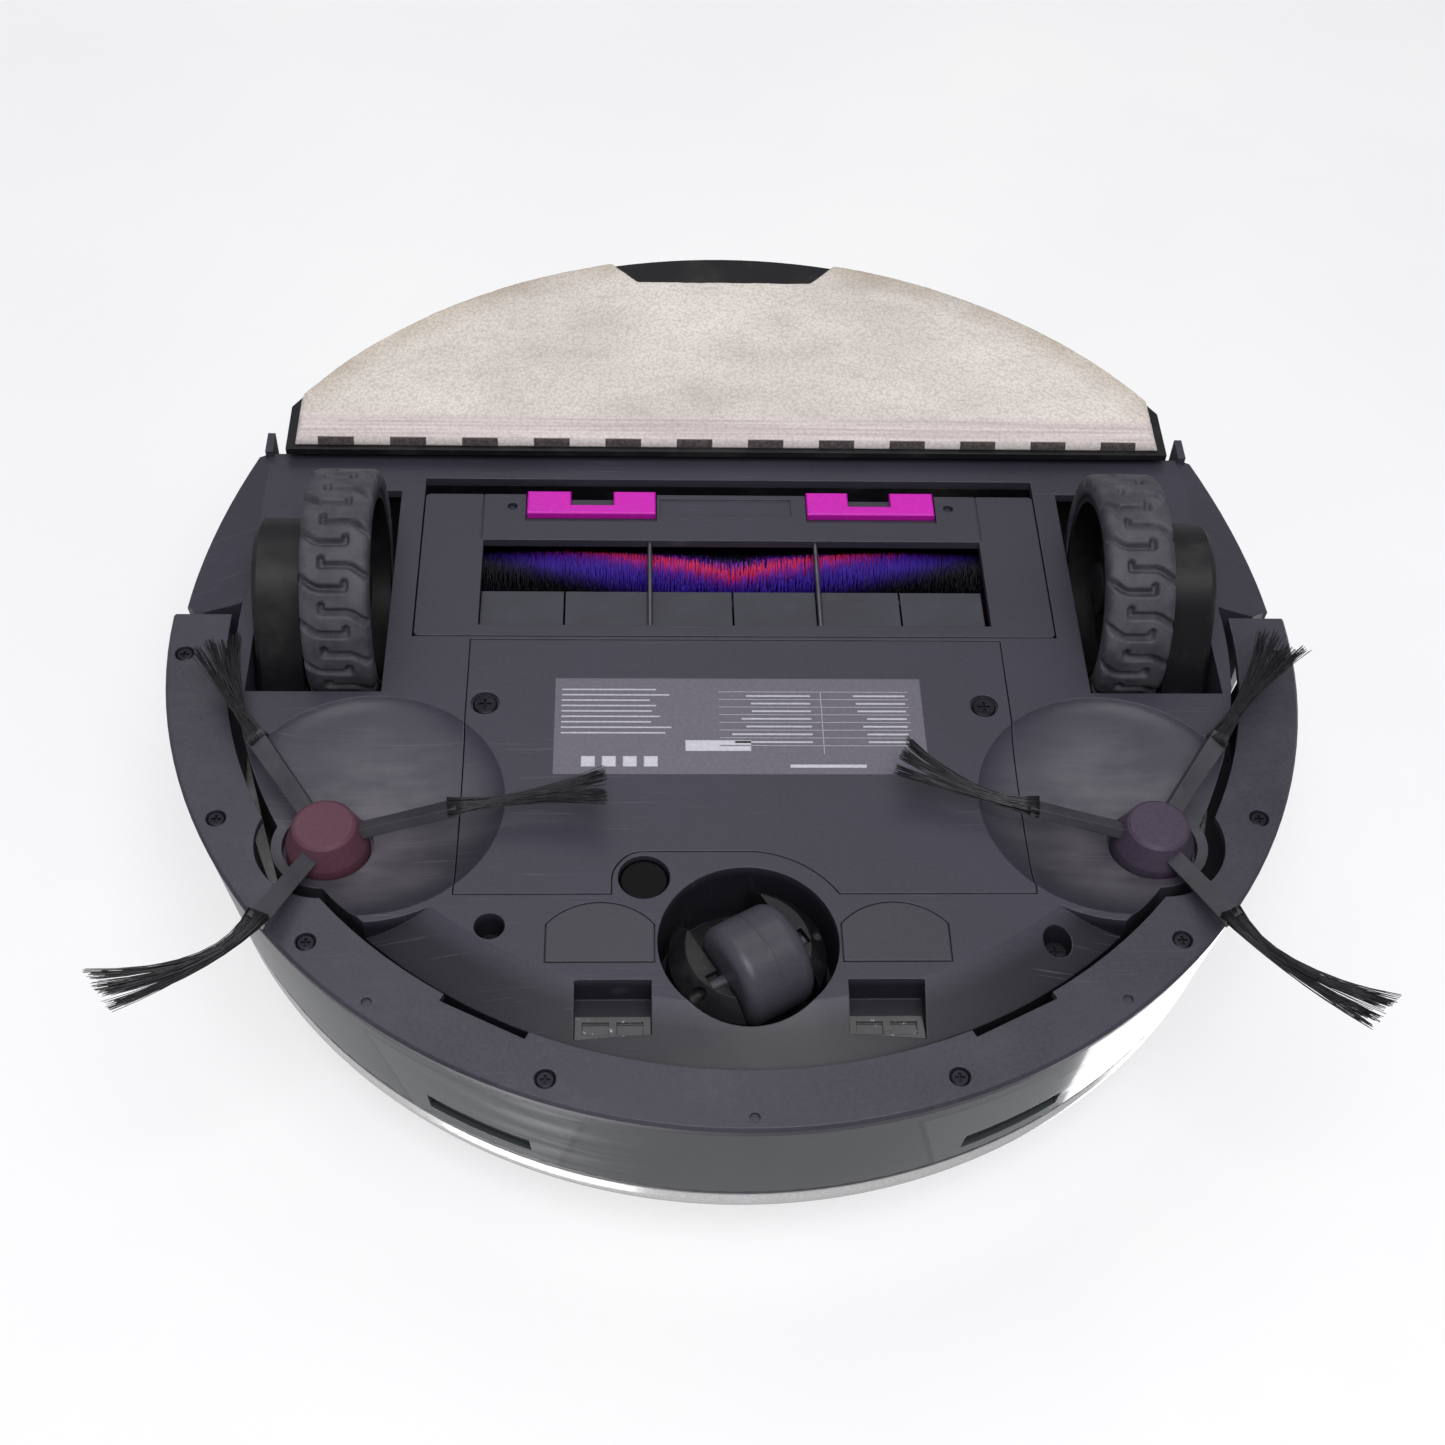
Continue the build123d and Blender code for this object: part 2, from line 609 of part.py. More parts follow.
def make_main_brush():
    with BuildPart() as brush_core:
        add(shaft(brush_y, brush_z, 9, (-88, 88)))
        add(shaft(brush_y, brush_z, 4, (-99, 94)))
    save("brush_core", brush_core)
    with BuildPart() as brush_bristles:
        add(shaft(brush_y, brush_z, brush_r, (-84, 84)))
        add(shaft(brush_y, brush_z, 9, (-84, 84)), mode=Mode.SUBTRACT)
    save("brush_bristles", brush_bristles)
    with BuildPart() as brush_bearing:
        with BuildSketch(Plane.YZ.offset(89)):
            with Locations((brush_y, base_z + brush_z)):
                RectangleRounded(17, 17, 3)
                Circle(4 + run_fit, mode=Mode.SUBTRACT)
        extrude(amount=mouth_x - 89)
    save("brush_bearing", brush_bearing)


def make_brush_cover():
    edge = mouth_x - 0.5
    with BuildPart() as brush_cover_frame:
        add(block((-edge, edge), (mouth_y[0] + 0.4, 55.2), (0, 3)))
        fillet(brush_cover_frame.edges().filter_by(Axis.Z), radius=1.5)
        add(block((-window_x, window_x), window_y, (-1, 4)), mode=Mode.SUBTRACT)
        both_sides(block((23.7, 65.3), (43.4, 56), (-1, 2.4)), Mode.SUBTRACT)
        both_sides(block((78.4, 78.9), (35.5, 56), (-1, 0.5)), Mode.SUBTRACT)
        add(block((-19, 22.7), (46.2, 53.4), (-1, 0.7)), mode=Mode.SUBTRACT)
        both_sides(post(69.5, 49.8, 1.6, (-1, 2)), Mode.SUBTRACT)
        both_sides(block((80, 94), (37, 38), (2.9, 3.4)))
    save("brush_cover_frame", brush_cover_frame)
    with BuildPart() as frame_wires:
        both_sides(shaft_along_y(26, 1.35, 0.75, window_y))
    save("frame_wires", frame_wires)
    flap_w, gap = 25.2, 0.6
    with BuildPart() as brush_flaps:
        for i in range(6):
            x0 = -window_x + 1.4 + i * (flap_w + gap + 0.02)
            with BuildSketch(Plane.YZ.offset(x0)):
                with BuildLine():
                    Polyline([(window_y[0], base_z + 2.6), (0.8, base_z + 2.6), (15.5, base_z + 4.4),
                              (16.5, base_z + 4.0), (15.6, base_z + 2.9), (window_y[0], base_z + 2.3)][::-1],
                             close=True)
                make_face()
            extrude(amount=flap_w)
    save("brush_flaps", brush_flaps)
    with BuildPart() as latch:
        add(block((24.1, 64.9), (46.7, 56.6), (-0.3, 2.3)))
        add(block((37.5, 51), (50.6, 57), (-1, 3)), mode=Mode.SUBTRACT)
        chamfer(latch.faces().sort_by(Axis.Z)[0].edges(), length=0.4)
    save_pair("latch", latch)


def shaft_along_y(x, z, r, y):
    """Cylinder that lies along Y."""
    with BuildPart() as solid:
        with BuildSketch(Plane.XZ.offset(-y[1])):
            with Locations((x, base_z + z)):
                Circle(r)
        extrude(amount=y[1] - y[0])
    return solid.part


# ---------------------------------------------------------------- caster

def make_caster():
    wheel_z, tyre_r, slot_w, tread_w = 4.5, 14.5, 23.0, 20.8
    seat = 5.0                # square seat of the axle in each cheek
    across = radial_plane(0, caster_y, caster_turn)
    axle = (caster_trail, wheel_z)
    with BuildPart() as caster_fork:
        add(turned([(0, 1.4), (17, 1.4), (21.5, 7), (22.5, 22), (5, 22), (5, 26), (0, 26)], 0, caster_y))
        with BuildSketch(level(-1)):
            with Locations((0, caster_y)):
                Rectangle(60, slot_w, rotation=caster_turn)
        extrude(amount=21.5, mode=Mode.SUBTRACT)
        with BuildSketch(across):
            with Locations(axle):
                Circle(2)
        extrude(amount=30, both=True, mode=Mode.SUBTRACT)
        with BuildSketch(across):
            with Locations((caster_trail, 1)):
                Rectangle(seat, seat)
        extrude(amount=slot_w / 2 + 3.7, both=True, mode=Mode.SUBTRACT)
    save("caster_fork", caster_fork)
    with BuildPart() as caster_wheel:
        with BuildSketch(across):
            with Locations(axle):
                Circle(tyre_r)
        extrude(amount=tread_w / 2, both=True)
        fillet(caster_wheel.edges(), radius=4)
        with BuildSketch(across):
            with Locations(axle):
                Circle(2 - run_fit)
        extrude(amount=slot_w / 2 + 3.3, both=True)
        # moulding line round the middle of the tread
        with BuildSketch(across):
            with Locations(axle):
                Circle(tyre_r + 0.15)
        extrude(amount=0.25, both=True)
    save("caster_wheel", caster_wheel)


# ---------------------------------------------------------------- dust bin and mop

def make_bin():
    rim = 46.0
    grip_x, grip_z = 143.5, 12.0      # finger step at each lower front corner
    with BuildPart() as bin_shell:
        add(turned([(0, -1), (169.2, -1), (body_r, 0), (body_r, wall_foot), (wall_r(rim), rim), (0, rim)]))
        add(turned([(0, 1.2), (167.5, 1.2), (wall_r(rim) - 2.2, rim), (0, rim)]), mode=Mode.SUBTRACT)
        add(block((-200, 200), (-200, 76.6), (-5, 60)), mode=Mode.SUBTRACT)
        with BuildPart(mode=Mode.PRIVATE) as walls:
            add(block((-200, 200), (74.5, 76.6), (-1, rim)))
            both_sides(block((62, 64), (76, 160), (0, rim)))
            both_sides(block((grip_x - skin, 175), (74.5, 95), (-1, grip_z + skin)))
            add(turned([(0, -1), (169.2, -1), (body_r, 0), (body_r, wall_foot), (wall_r(rim), rim), (0, rim)]),
                mode=Mode.INTERSECT)
        add(walls.part)
        both_sides(block((grip_x, 200), (70, 93), (-5, grip_z)), Mode.SUBTRACT)
        add(block((-45, 45), (70, 80), (22, 42)), mode=Mode.SUBTRACT)
        add(block((-13, 13), (155, 180), (16, 32)), mode=Mode.SUBTRACT)
        for i in range(6):
            z = 14 + 4 * i
            both_sides(block((20, 56), (145, 180), (z, z + 2)), Mode.SUBTRACT)
    save("bin_shell", bin_shell)
    with BuildPart() as bin_lid:
        add(turned([(0, rim), (wall_r(rim) - 0.1, rim), (wall_r(48.4) - 0.1, 48.4), (0, 48.4)]))
        add(block((-200, 200), (-200, 74.5), (-5, 60)), mode=Mode.SUBTRACT)
    save("bin_lid", bin_lid)
    with BuildPart() as bin_filter:
        add(block((-44, 44), (146, 154), (4, 42)))
        for i in range(14):
            x = -42 + 6 * i
            add(block((x, x + 3), (144, 147), (7, 39)), mode=Mode.SUBTRACT)
    save("bin_filter", bin_filter)
    with BuildPart() as release_button:
        add(turned([(159, 16.3), (wall_r(24) + 0.3, 16.3), (wall_r(24) + 0.3, 31.7), (159, 31.7)]))
        add(block((-12.7, 12.7), (100, 200), (0, 60)), mode=Mode.INTERSECT)
    save("release_button", release_button)


def make_mop():
    cloth_r, cloth_x, cloth_y = 167.4, 139.5, 71.6
    with BuildPart() as mop_plate:
        add(turned([(0, -5.3), (168.2, -5.3), (168.9, -4.6), (168.9, -3), (0, -3)]))
        add(block((-142.5, 142.5), (69.8, 200), (-10, 5)), mode=Mode.INTERSECT)
        for x, y in ((60, 90), (118, 100), (60, 145)):
            both_sides(block((x - 6, x + 6), (y - 3, y + 3), (-3, -1.3)))
    save("mop_plate", mop_plate)
    with BuildPart() as mop_cloth:
        with BuildSketch(level(-9)):
            Circle(cloth_r)
            with Locations((0, cloth_y + 60)):
                Rectangle(2 * cloth_x, 120, mode=Mode.INTERSECT)
            with BuildLine():
                Polyline([(-30, 153), (30, 153), (42, 166), (42, 175), (-42, 175), (-42, 166)], close=True)
            make_face(mode=Mode.SUBTRACT)
        extrude(amount=3.6)
        fillet(mop_cloth.edges().group_by(Axis.Z)[0], radius=1.2)
    save("mop_cloth", mop_cloth)


# ---------------------------------------------------------------- laser turret

def make_lidar():
    with BuildPart() as lidar_base:
        add(turned([(12 + run_fit, body_h), (44, body_h), (43, 69), (40, 69), (39, 67.5), (12 + run_fit, 67.5)],
                   0, lidar_y))
    save("lidar_base", lidar_base)
    with BuildPart() as lidar_guard:
        add(turned([(0, 81.5), (lidar_r - 1, 81.5), (lidar_r, 82.5), (lidar_r, 84.8), (lidar_r - 1.2, body_h + 20),
                    (0, body_h + 20)], 0, lidar_y))
        with BuildSketch(level(69)):
            with Locations((0, lidar_y)):
                with PolarLocations(41, 4, start_angle=45):
                    Circle(1.6)
        extrude(amount=12.5)
    save("lidar_guard", lidar_guard)
    with BuildPart() as lidar_rotor:
        add(turned([(0, 56), (14, 56), (14, 56.6), (rotor_pulley_r, 57), (rotor_pulley_r, 60), (12, 60.5), (12, 68.2),
                    (31, 68.2), (32, 69.2), (32, 79), (30, 80.5), (0, 80.5)], 0, lidar_y))
        add(block((-14, 14), (lidar_y - 40, lidar_y - 26), (71, 78)), mode=Mode.SUBTRACT)
    save("lidar_rotor", lidar_rotor)
    with BuildPart() as lidar_motor:
        add(post(lidar_motor_x, lidar_y, 8, (47.2, 55.5)))
        add(post(lidar_motor_x, lidar_y, 1.45, (55.5, 60.5)))
    save("lidar_motor", lidar_motor)
    with BuildPart() as lidar_pulley:
        with BuildSketch(level(56.4)):
            with Locations((lidar_motor_x, lidar_y)):
                Circle(pulley_r)
                Circle(1.5, mode=Mode.SUBTRACT)
        extrude(amount=4)
    save("lidar_pulley", lidar_pulley)
    with BuildPart() as lidar_belt:
        for grow, mode in ((0.85, Mode.ADD), (run_fit, Mode.SUBTRACT)):
            with BuildSketch(level(57.4)):
                with Locations((0, lidar_y)):
                    Circle(rotor_pulley_r + grow)
                with Locations((lidar_motor_x, lidar_y)):
                    Circle(pulley_r + grow)
                make_hull()
            extrude(amount=2.2, mode=mode)
    save("lidar_belt", lidar_belt)


make_base_chassis()
make_battery_door()
make_base_screws()
make_sensors()
make_top_cover()
make_buttons()
make_power_parts()
make_fan()
make_brush_drive()
make_side_brush_motors()
make_bumper()
make_side_brush()
make_drive_wheel()
make_main_brush()
make_brush_cover()
make_caster()
make_bin()
make_mop()
make_lidar()
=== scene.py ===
import math

import bpy
import numpy as np
from mathutils import Matrix, Vector


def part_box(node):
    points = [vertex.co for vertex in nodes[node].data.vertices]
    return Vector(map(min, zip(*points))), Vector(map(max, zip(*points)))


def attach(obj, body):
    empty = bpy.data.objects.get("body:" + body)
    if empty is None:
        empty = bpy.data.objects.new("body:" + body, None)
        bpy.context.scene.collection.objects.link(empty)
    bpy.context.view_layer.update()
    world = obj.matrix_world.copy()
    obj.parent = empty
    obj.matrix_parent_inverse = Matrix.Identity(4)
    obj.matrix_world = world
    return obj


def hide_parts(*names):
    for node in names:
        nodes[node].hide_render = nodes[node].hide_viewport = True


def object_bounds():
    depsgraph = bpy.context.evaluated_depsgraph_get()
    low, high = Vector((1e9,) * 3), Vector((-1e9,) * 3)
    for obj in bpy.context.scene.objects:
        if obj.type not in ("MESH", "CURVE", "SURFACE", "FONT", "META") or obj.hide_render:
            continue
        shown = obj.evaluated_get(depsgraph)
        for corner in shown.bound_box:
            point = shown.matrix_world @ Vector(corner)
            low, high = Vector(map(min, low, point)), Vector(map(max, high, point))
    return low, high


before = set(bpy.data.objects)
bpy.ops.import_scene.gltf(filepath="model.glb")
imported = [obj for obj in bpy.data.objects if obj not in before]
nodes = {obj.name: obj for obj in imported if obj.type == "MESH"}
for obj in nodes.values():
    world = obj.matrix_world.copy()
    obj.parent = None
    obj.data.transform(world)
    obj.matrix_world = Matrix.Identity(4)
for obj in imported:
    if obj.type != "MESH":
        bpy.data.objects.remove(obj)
cad_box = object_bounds()

MM = 0.001
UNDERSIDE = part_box("battery_door")[0].z     # the flat underside of the base
CLOTH_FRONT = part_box("mop_cloth")[0].y
TURRET_TOP = cad_box[1].z
EDGE = 0.5 * MM                             # radius that hard plastic edges are rounded to
SPARK = 2000                                # noise scale of moulded plastic's grain, per metre
chance = np.random.default_rng(7)


# ---------------------------------------------------------------- shader helpers

def shade(r, g, b):
    """Linear colour with full alpha, from display values of 0 to 255."""
    def linear(c):
        return c / 12.92 if c <= 0.04045 else ((c + 0.055) / 1.055) ** 2.4
    return (linear(r / 255), linear(g / 255), linear(b / 255), 1.0)


class Shader:
    """A Principled material, with short calls that add nodes to it."""

    def __init__(self, name):
        self.material = bpy.data.materials.new(name)
        self.material.use_nodes = True
        self.tree = self.material.node_tree
        self.surface = self.tree.nodes["Principled BSDF"]
        self.place = self.add("ShaderNodeTexCoord").outputs["Object"]

    def add(self, kind, inputs=(), **settings):
        made = self.tree.nodes.new(kind)
        for key, value in settings.items():
            setattr(made, key, value)
        for key, value in dict(inputs).items():
            self.feed(made.inputs[key], value)
        return made

    def feed(self, socket, value):
        if isinstance(value, bpy.types.NodeSocket):
            self.tree.links.new(value, socket)
        else:
            socket.default_value = value

    def set(self, **sockets):
        for key, value in sockets.items():
            self.feed(self.surface.inputs[key.replace("_", " ")], value)

    def math(self, operation, a, b=0.0):
        return self.add("ShaderNodeMath", {0: a, 1: b}, operation=operation).outputs[0]

    def stretched(self, scale, turn=0.0):
        return self.add("ShaderNodeMapping", {"Vector": self.place, "Scale": scale,
                                              "Rotation": (0, 0, math.radians(turn))}).outputs[0]

    def noise(self, scale, detail=2.0, place=None, roughness=0.5):
        return self.add("ShaderNodeTexNoise", {"Vector": place or self.place, "Scale": scale,
                                               "Detail": detail, "Roughness": roughness}).outputs["Fac"]

    def span(self, value, low, high, out_low=0.0, out_high=1.0):
        """Value mapped from low..high onto out_low..out_high, held at both ends."""
        return self.add("ShaderNodeMapRange", {"Value": value, "From Min": low, "From Max": high,
                                               "To Min": out_low, "To Max": out_high}).outputs[0]

    def mix(self, share, a, b):
        made = self.add("ShaderNodeMix", data_type="RGBA")
        for index, value in ((0, share), (6, a), (7, b)):
            self.feed(made.inputs[index], value)
        return made.outputs[2]

    def ramp(self, value, stops):
        made = self.add("ShaderNodeValToRGB", {"Fac": value})
        first, last = made.color_ramp.elements
        first.position, first.color = stops[0]
        last.position, last.color = stops[-1]
        for position, colour in stops[1:-1]:
            made.color_ramp.elements.new(position).color = colour
        return made.outputs["Color"]

    def bump(self, height, strength, distance, normal=None):
        made = self.add("ShaderNodeBump", {"Height": height, "Strength": strength,
                                           "Distance": distance})
        if normal is not None:
            self.feed(made.inputs["Normal"], normal)
        return made.outputs["Normal"]

    def rounded(self, radius):
        """Normal of the surface with its sharp edges rounded off."""
        return self.add("ShaderNodeBevel", {"Radius": radius}, samples=4).outputs["Normal"]

    def edges(self, rounded):
        """1 along sharp edges, 0 on the flats."""
        true_normal = self.add("ShaderNodeNewGeometry").outputs["Normal"]
        along = self.add("ShaderNodeVectorMath", {0: rounded, 1: true_normal},
                         operation="DOT_PRODUCT").outputs["Value"]
        return self.span(along, 0.97, 0.80)      # cosines of about 14 and 37 degrees of rounding

    def axes(self):
        return self.add("ShaderNodeSeparateXYZ", {"Vector": self.place}).outputs


def scaled(colour, factor):
    return tuple(min(1.0, c * factor) for c in colour[:3]) + (1.0,)


def plastic(name, colour, roughness=0.5, grain=0.25, mottle=0.18, wear=0.35, scratches=0.0, dust=0.0,
            coat=0.0, shine=0.35):
    """Moulded plastic: fine spark grain, uneven tone, worn edges, hair scratches, dust."""
    s = Shader(name)
    patches = s.noise(22, 4)
    speckle = s.noise(900, 2)
    tone = s.mix(s.span(patches, 0.35, 0.68), scaled(colour, 1 - mottle), scaled(colour, 1 + mottle))
    tone = s.mix(s.span(speckle, 0.35, 0.7, 0, 0.35), tone, scaled(colour, 1.5))
    if dust:
        film = s.math("MULTIPLY", s.span(s.noise(60, 6, roughness=0.65), 0.5, 0.78), dust)
        tone = s.mix(film, tone, shade(150, 146, 144))
    round_normal = s.rounded(EDGE)
    worn = s.math("MULTIPLY", s.edges(round_normal), s.span(s.noise(130, 3), 0.3, 0.6, 0.25, 1))
    tone = s.mix(s.math("MULTIPLY", worn, wear), tone, scaled(colour, 3.0))
    rough = s.span(patches, 0.3, 0.7, roughness - 0.07, roughness + 0.08)
    if scratches:
        for turn, stretch in ((24, (40, 2200, 40)), (-58, (30, 1700, 30))):
            line = s.span(s.noise(1, 2, s.stretched(stretch, turn)), 0.69, 0.74)
            line = s.math("MULTIPLY", line, s.span(s.noise(14, 2), 0.5, 0.62, 0, scratches))
            tone = s.mix(line, tone, scaled(colour, 2.6))
    s.set(Base_Color=tone, Roughness=rough, Coat_Weight=coat, Coat_Roughness=0.12, Specular_IOR_Level=shine)
    s.set(Normal=s.bump(s.noise(SPARK, 2), grain, 0.1 * MM, round_normal))
    return s


# ---------------------------------------------------------------- materials

BOWL_X, BOWL_Y = 0.1055, -0.0675      # centre of each side brush bowl, left and mirrored right


def base_plastic():
    """Dark purplish grey base, with painted shade where it is sunk at the front, scuffed paler in the bowls.
    """
    colour = shade(56, 54, 65)
    s = Shader("base_plastic")
    patches, fine = s.noise(20, 4), s.noise(800, 2)
    tone = s.mix(s.span(patches, 0.35, 0.68), scaled(colour, 0.88), scaled(colour, 1.12))
    tone = s.mix(s.span(fine, 0.35, 0.7, 0, 0.3), tone, scaled(colour, 1.4))
    x, y, z = s.axes()
    # painted shade: the sunk area and its bevel at the front are darkened to stand in for the shade that
    # falls there
    sunk = s.math("MULTIPLY", s.span(z, UNDERSIDE + 0.0006, UNDERSIDE + 0.0035), s.span(y, -0.055, -0.085))
    tone = s.mix(s.math("MULTIPLY", sunk, 0.75), tone, scaled(colour, 0.22))
    across, along = s.math("SUBTRACT", s.math("ABSOLUTE", x), BOWL_X), s.math("SUBTRACT", y, BOWL_Y)
    away = s.math("POWER", s.math("ADD", s.math("POWER", across, 2.0), s.math("POWER", along, 2.0)), 0.5)
    in_bowl = s.math("MULTIPLY", s.span(away, 0.037, 0.016), s.span(z, UNDERSIDE, UNDERSIDE + 0.001))
    rings = s.noise(1, 3, s.stretched((60, 320, 60), 30))
    scuffed = s.span(s.math("ADD", s.noise(45, 5), s.math("MULTIPLY", rings, 0.5)), 0.55, 0.95, 0.25, 0.9)
    tone = s.mix(s.math("MULTIPLY", in_bowl, scuffed), tone, shade(98, 95, 102))
    for turn, stretch in ((24, (40, 2000, 40)), (-50, (30, 1500, 30))):
        line = s.span(s.noise(1, 2, s.stretched(stretch, turn)), 0.68, 0.74)
        line = s.math("MULTIPLY", line, s.span(s.noise(14, 2), 0.48, 0.62, 0, 0.45))
        tone = s.mix(line, tone, shade(104, 101, 108))
    round_normal = s.rounded(EDGE)
    worn = s.math("MULTIPLY", s.edges(round_normal), s.span(s.noise(90, 3), 0.3, 0.65, 0.15, 0.8))
    tone = s.mix(s.math("MULTIPLY", worn, 0.45), tone, shade(120, 117, 124))
    s.set(Base_Color=tone, Roughness=s.span(patches, 0.3, 0.7, 0.38, 0.52), Specular_IOR_Level=0.35)
    s.set(Normal=s.bump(s.noise(1800, 2), 0.3, 0.1 * MM, round_normal))
    return s


SLOT_TURN = 26.0      # degrees from the front to the sensor slots in the bumper band


def gloss_band():
    """Glossy dark green-grey band, with a paler trapezoid panel round each sensor slot."""
    s = Shader("gloss_band")
    x, y, z = s.axes()
    azimuth = s.math("DEGREES", s.math("ARCTAN2", s.math("ABSOLUTE", x), s.math("MULTIPLY", y, -1.0)))
    height = s.math("SUBTRACT", z, UNDERSIDE)
    half = s.span(height, 0.006, 0.046, 11.5, 8.0)
    side = s.math("SUBTRACT", s.math("ABSOLUTE", s.math("SUBTRACT", azimuth, SLOT_TURN)), half)
    panel = s.math("MULTIPLY", s.span(side, 0.1, -0.1), s.span(height, 0.010, 0.0106))
    line = s.math("MULTIPLY", s.span(s.math("ABSOLUTE", side), 0.35, 0.15), s.span(height, 0.0098, 0.0104))
    foot = s.math("MULTIPLY", s.span(s.math("ABSOLUTE", s.math("SUBTRACT", height, 0.0104)), 0.0009, 0.0004),
                  s.span(side, 0.2, 0.0))
    line = s.math("MAXIMUM", line, foot)
    haze = s.noise(35, 4)
    tone = s.mix(s.span(haze, 0.3, 0.7), shade(44, 50, 50), shade(56, 62, 61))
    tone = s.mix(s.math("MULTIPLY", panel, 0.8), tone, shade(70, 77, 76))
    tone = s.mix(line, tone, shade(9, 10, 11))
    smear = s.noise(1, 3, s.stretched((18, 18, 260), 4))
    s.set(Base_Color=tone, Roughness=s.span(smear, 0.3, 0.75, 0.07, 0.2), Coat_Weight=0.6,
          Coat_Roughness=0.05, IOR=1.5)
    s.set(Normal=s.bump(s.noise(90, 2), 0.04, 0.3 * MM, s.rounded(EDGE)))
    return s


def tyre_rubber():
    s = Shader("tyre_rubber")
    dusty = s.noise(120, 5, roughness=0.6)
    tone = s.mix(s.span(dusty, 0.4, 0.72), shade(54, 54, 62), shade(82, 81, 88))
    grit = s.span(s.noise(1400, 2), 0.62, 0.78, 0, 0.25)
    tone = s.mix(grit, tone, shade(118, 112, 108))
    s.set(Base_Color=tone, Roughness=s.span(dusty, 0.3, 0.7, 0.5, 0.72), Specular_IOR_Level=0.4)
    s.set(Normal=s.bump(s.noise(1100, 3), 0.35, 0.15 * MM))
    return s


def soft_rubber(name, colour, roughness=0.55):
    s = Shader(name)
    patches = s.noise(70, 4)
    tone = s.mix(s.span(patches, 0.35, 0.7), scaled(colour, 0.82), scaled(colour, 1.25))
    tone = s.mix(s.span(s.noise(260, 4), 0.55, 0.8, 0, 0.3), tone, scaled(colour, 1.9))
    round_normal = s.rounded(0.4 * MM)
    tone = s.mix(s.math("MULTIPLY", s.edges(round_normal), 0.35), tone, scaled(colour, 2.4))
    s.set(Base_Color=tone, Roughness=s.span(patches, 0.3, 0.7, roughness - 0.08, roughness + 0.1))
    s.set(Normal=s.bump(s.noise(1300, 3), 0.3, 0.1 * MM, round_normal))
    return s


def roller_fur():
    """Hair of the roller: a red chevron edged in purple on blue-violet, black between."""
    s = Shader("brush_bristle")
    band = s.add("ShaderNodeAttribute", attribute_name="band").outputs["Fac"]
    band = s.math("ADD", band, s.span(s.noise(420, 3), 0.2, 0.8, -0.02, 0.02))
    black, ink = shade(10, 9, 14), shade(26, 14, 66)
    blue, violet = shade(66, 34, 168), shade(122, 40, 190)
    tone = s.ramp(band, [(0.0, black), (0.08, ink), (0.22, blue), (0.40, blue), (0.48, violet),
                         (0.515, shade(226, 36, 92)), (0.605, shade(252, 58, 88)), (0.64, violet),
                         (0.74, ink), (0.84, black), (1.0, black)])
    ends = s.span(s.math("ABSOLUTE", s.axes()[0]), 0.056, 0.078)
    tone = s.mix(s.math("MULTIPLY", ends, 0.85), tone, black)
    tone = s.mix(s.span(s.noise(2600, 1), 0.3, 0.7, 0, 0.2), tone, black)
    s.set(Base_Color=tone, Roughness=0.42, Specular_IOR_Level=0.35)
    s.set(Normal=s.bump(s.noise(2200, 2), 0.25, 0.1 * MM))
    return s


def bristle(name, colour):
    s = Shader(name)
    tone = s.mix(s.span(s.noise(300, 3), 0.35, 0.7), scaled(colour, 0.6), scaled(colour, 1.7))
    s.set(Base_Color=tone, Roughness=0.38, Specular_IOR_Level=0.5)
    s.set(Normal=s.bump(s.noise(2600, 2), 0.2, 0.05 * MM))
    return s


HEM_BLOCK = 0.0115      # width of a dark or a pale block along the front edge of the mop cloth


def mop_fabric():
    """Looped beige pile with grey stains, yellowed at the edges, a flat band and blocks at the front."""
    s = Shader("mop_fabric")
    x, y = s.axes()[:2]
    stains = s.noise(16, 6, roughness=0.62)
    streaks = s.noise(1, 4, s.stretched((22, 90, 60)))
    tone = s.mix(s.span(stains, 0.36, 0.70), shade(240, 232, 225), shade(206, 197, 192))
    tone = s.mix(s.span(streaks, 0.45, 0.75, 0, 0.5), tone, shade(244, 236, 229))
    radius = s.math("POWER", s.math("ADD", s.math("POWER", x, 2.0), s.math("POWER", y, 2.0)), 0.5)
    yellow = s.math("MULTIPLY", s.span(radius, 0.155, 0.167), s.span(s.noise(60, 3), 0.3, 0.6, 0.3, 1))
    tone = s.mix(s.math("MULTIPLY", yellow, 0.6), tone, shade(176, 158, 124))
    band = s.span(y, CLOTH_FRONT + 0.0125, CLOTH_FRONT + 0.0105)
    ribs = s.noise(1, 2, s.stretched((14, 900, 900)))
    flat_tone = s.mix(s.span(ribs, 0.35, 0.65), shade(196, 182, 182), shade(228, 216, 214))
    tone = s.mix(s.math("MULTIPLY", band, 0.85), tone, flat_tone)
    blocks = s.math("GREATER_THAN", s.math("PINGPONG", x, HEM_BLOCK), HEM_BLOCK / 2)
    hem = s.span(y, CLOTH_FRONT + 0.0016, CLOTH_FRONT + 0.0012)
    hem_tone = s.mix(blocks, shade(206, 198, 196), shade(60, 54, 56))
    tone = s.mix(hem, tone, hem_tone)
    loops = s.add("ShaderNodeTexVoronoi", {"Vector": s.stretched((900, 760, 800)),
                                           "Scale": 1.0}).outputs["Distance"]
    # painted shade: darker in the hollows between the pile's loops, where the bump is lowest
    tone = s.mix(s.span(loops, 0.3, 0.8, 0, 0.24), tone, shade(128, 120, 115))
    s.set(Base_Color=tone, Roughness=0.92, Sheen_Weight=0.35, Sheen_Roughness=0.5,
          Specular_IOR_Level=0.15)
    pile = s.math("ADD", s.math("MULTIPLY", loops, -1.0), s.math("MULTIPLY", s.noise(500, 3), 0.8))
    flat = s.math("SUBTRACT", 1.0, s.math("MULTIPLY", band, 0.7))
    s.set(Normal=s.bump(s.math("MULTIPLY", pile, flat), 0.8, 0.7 * MM))
    return s


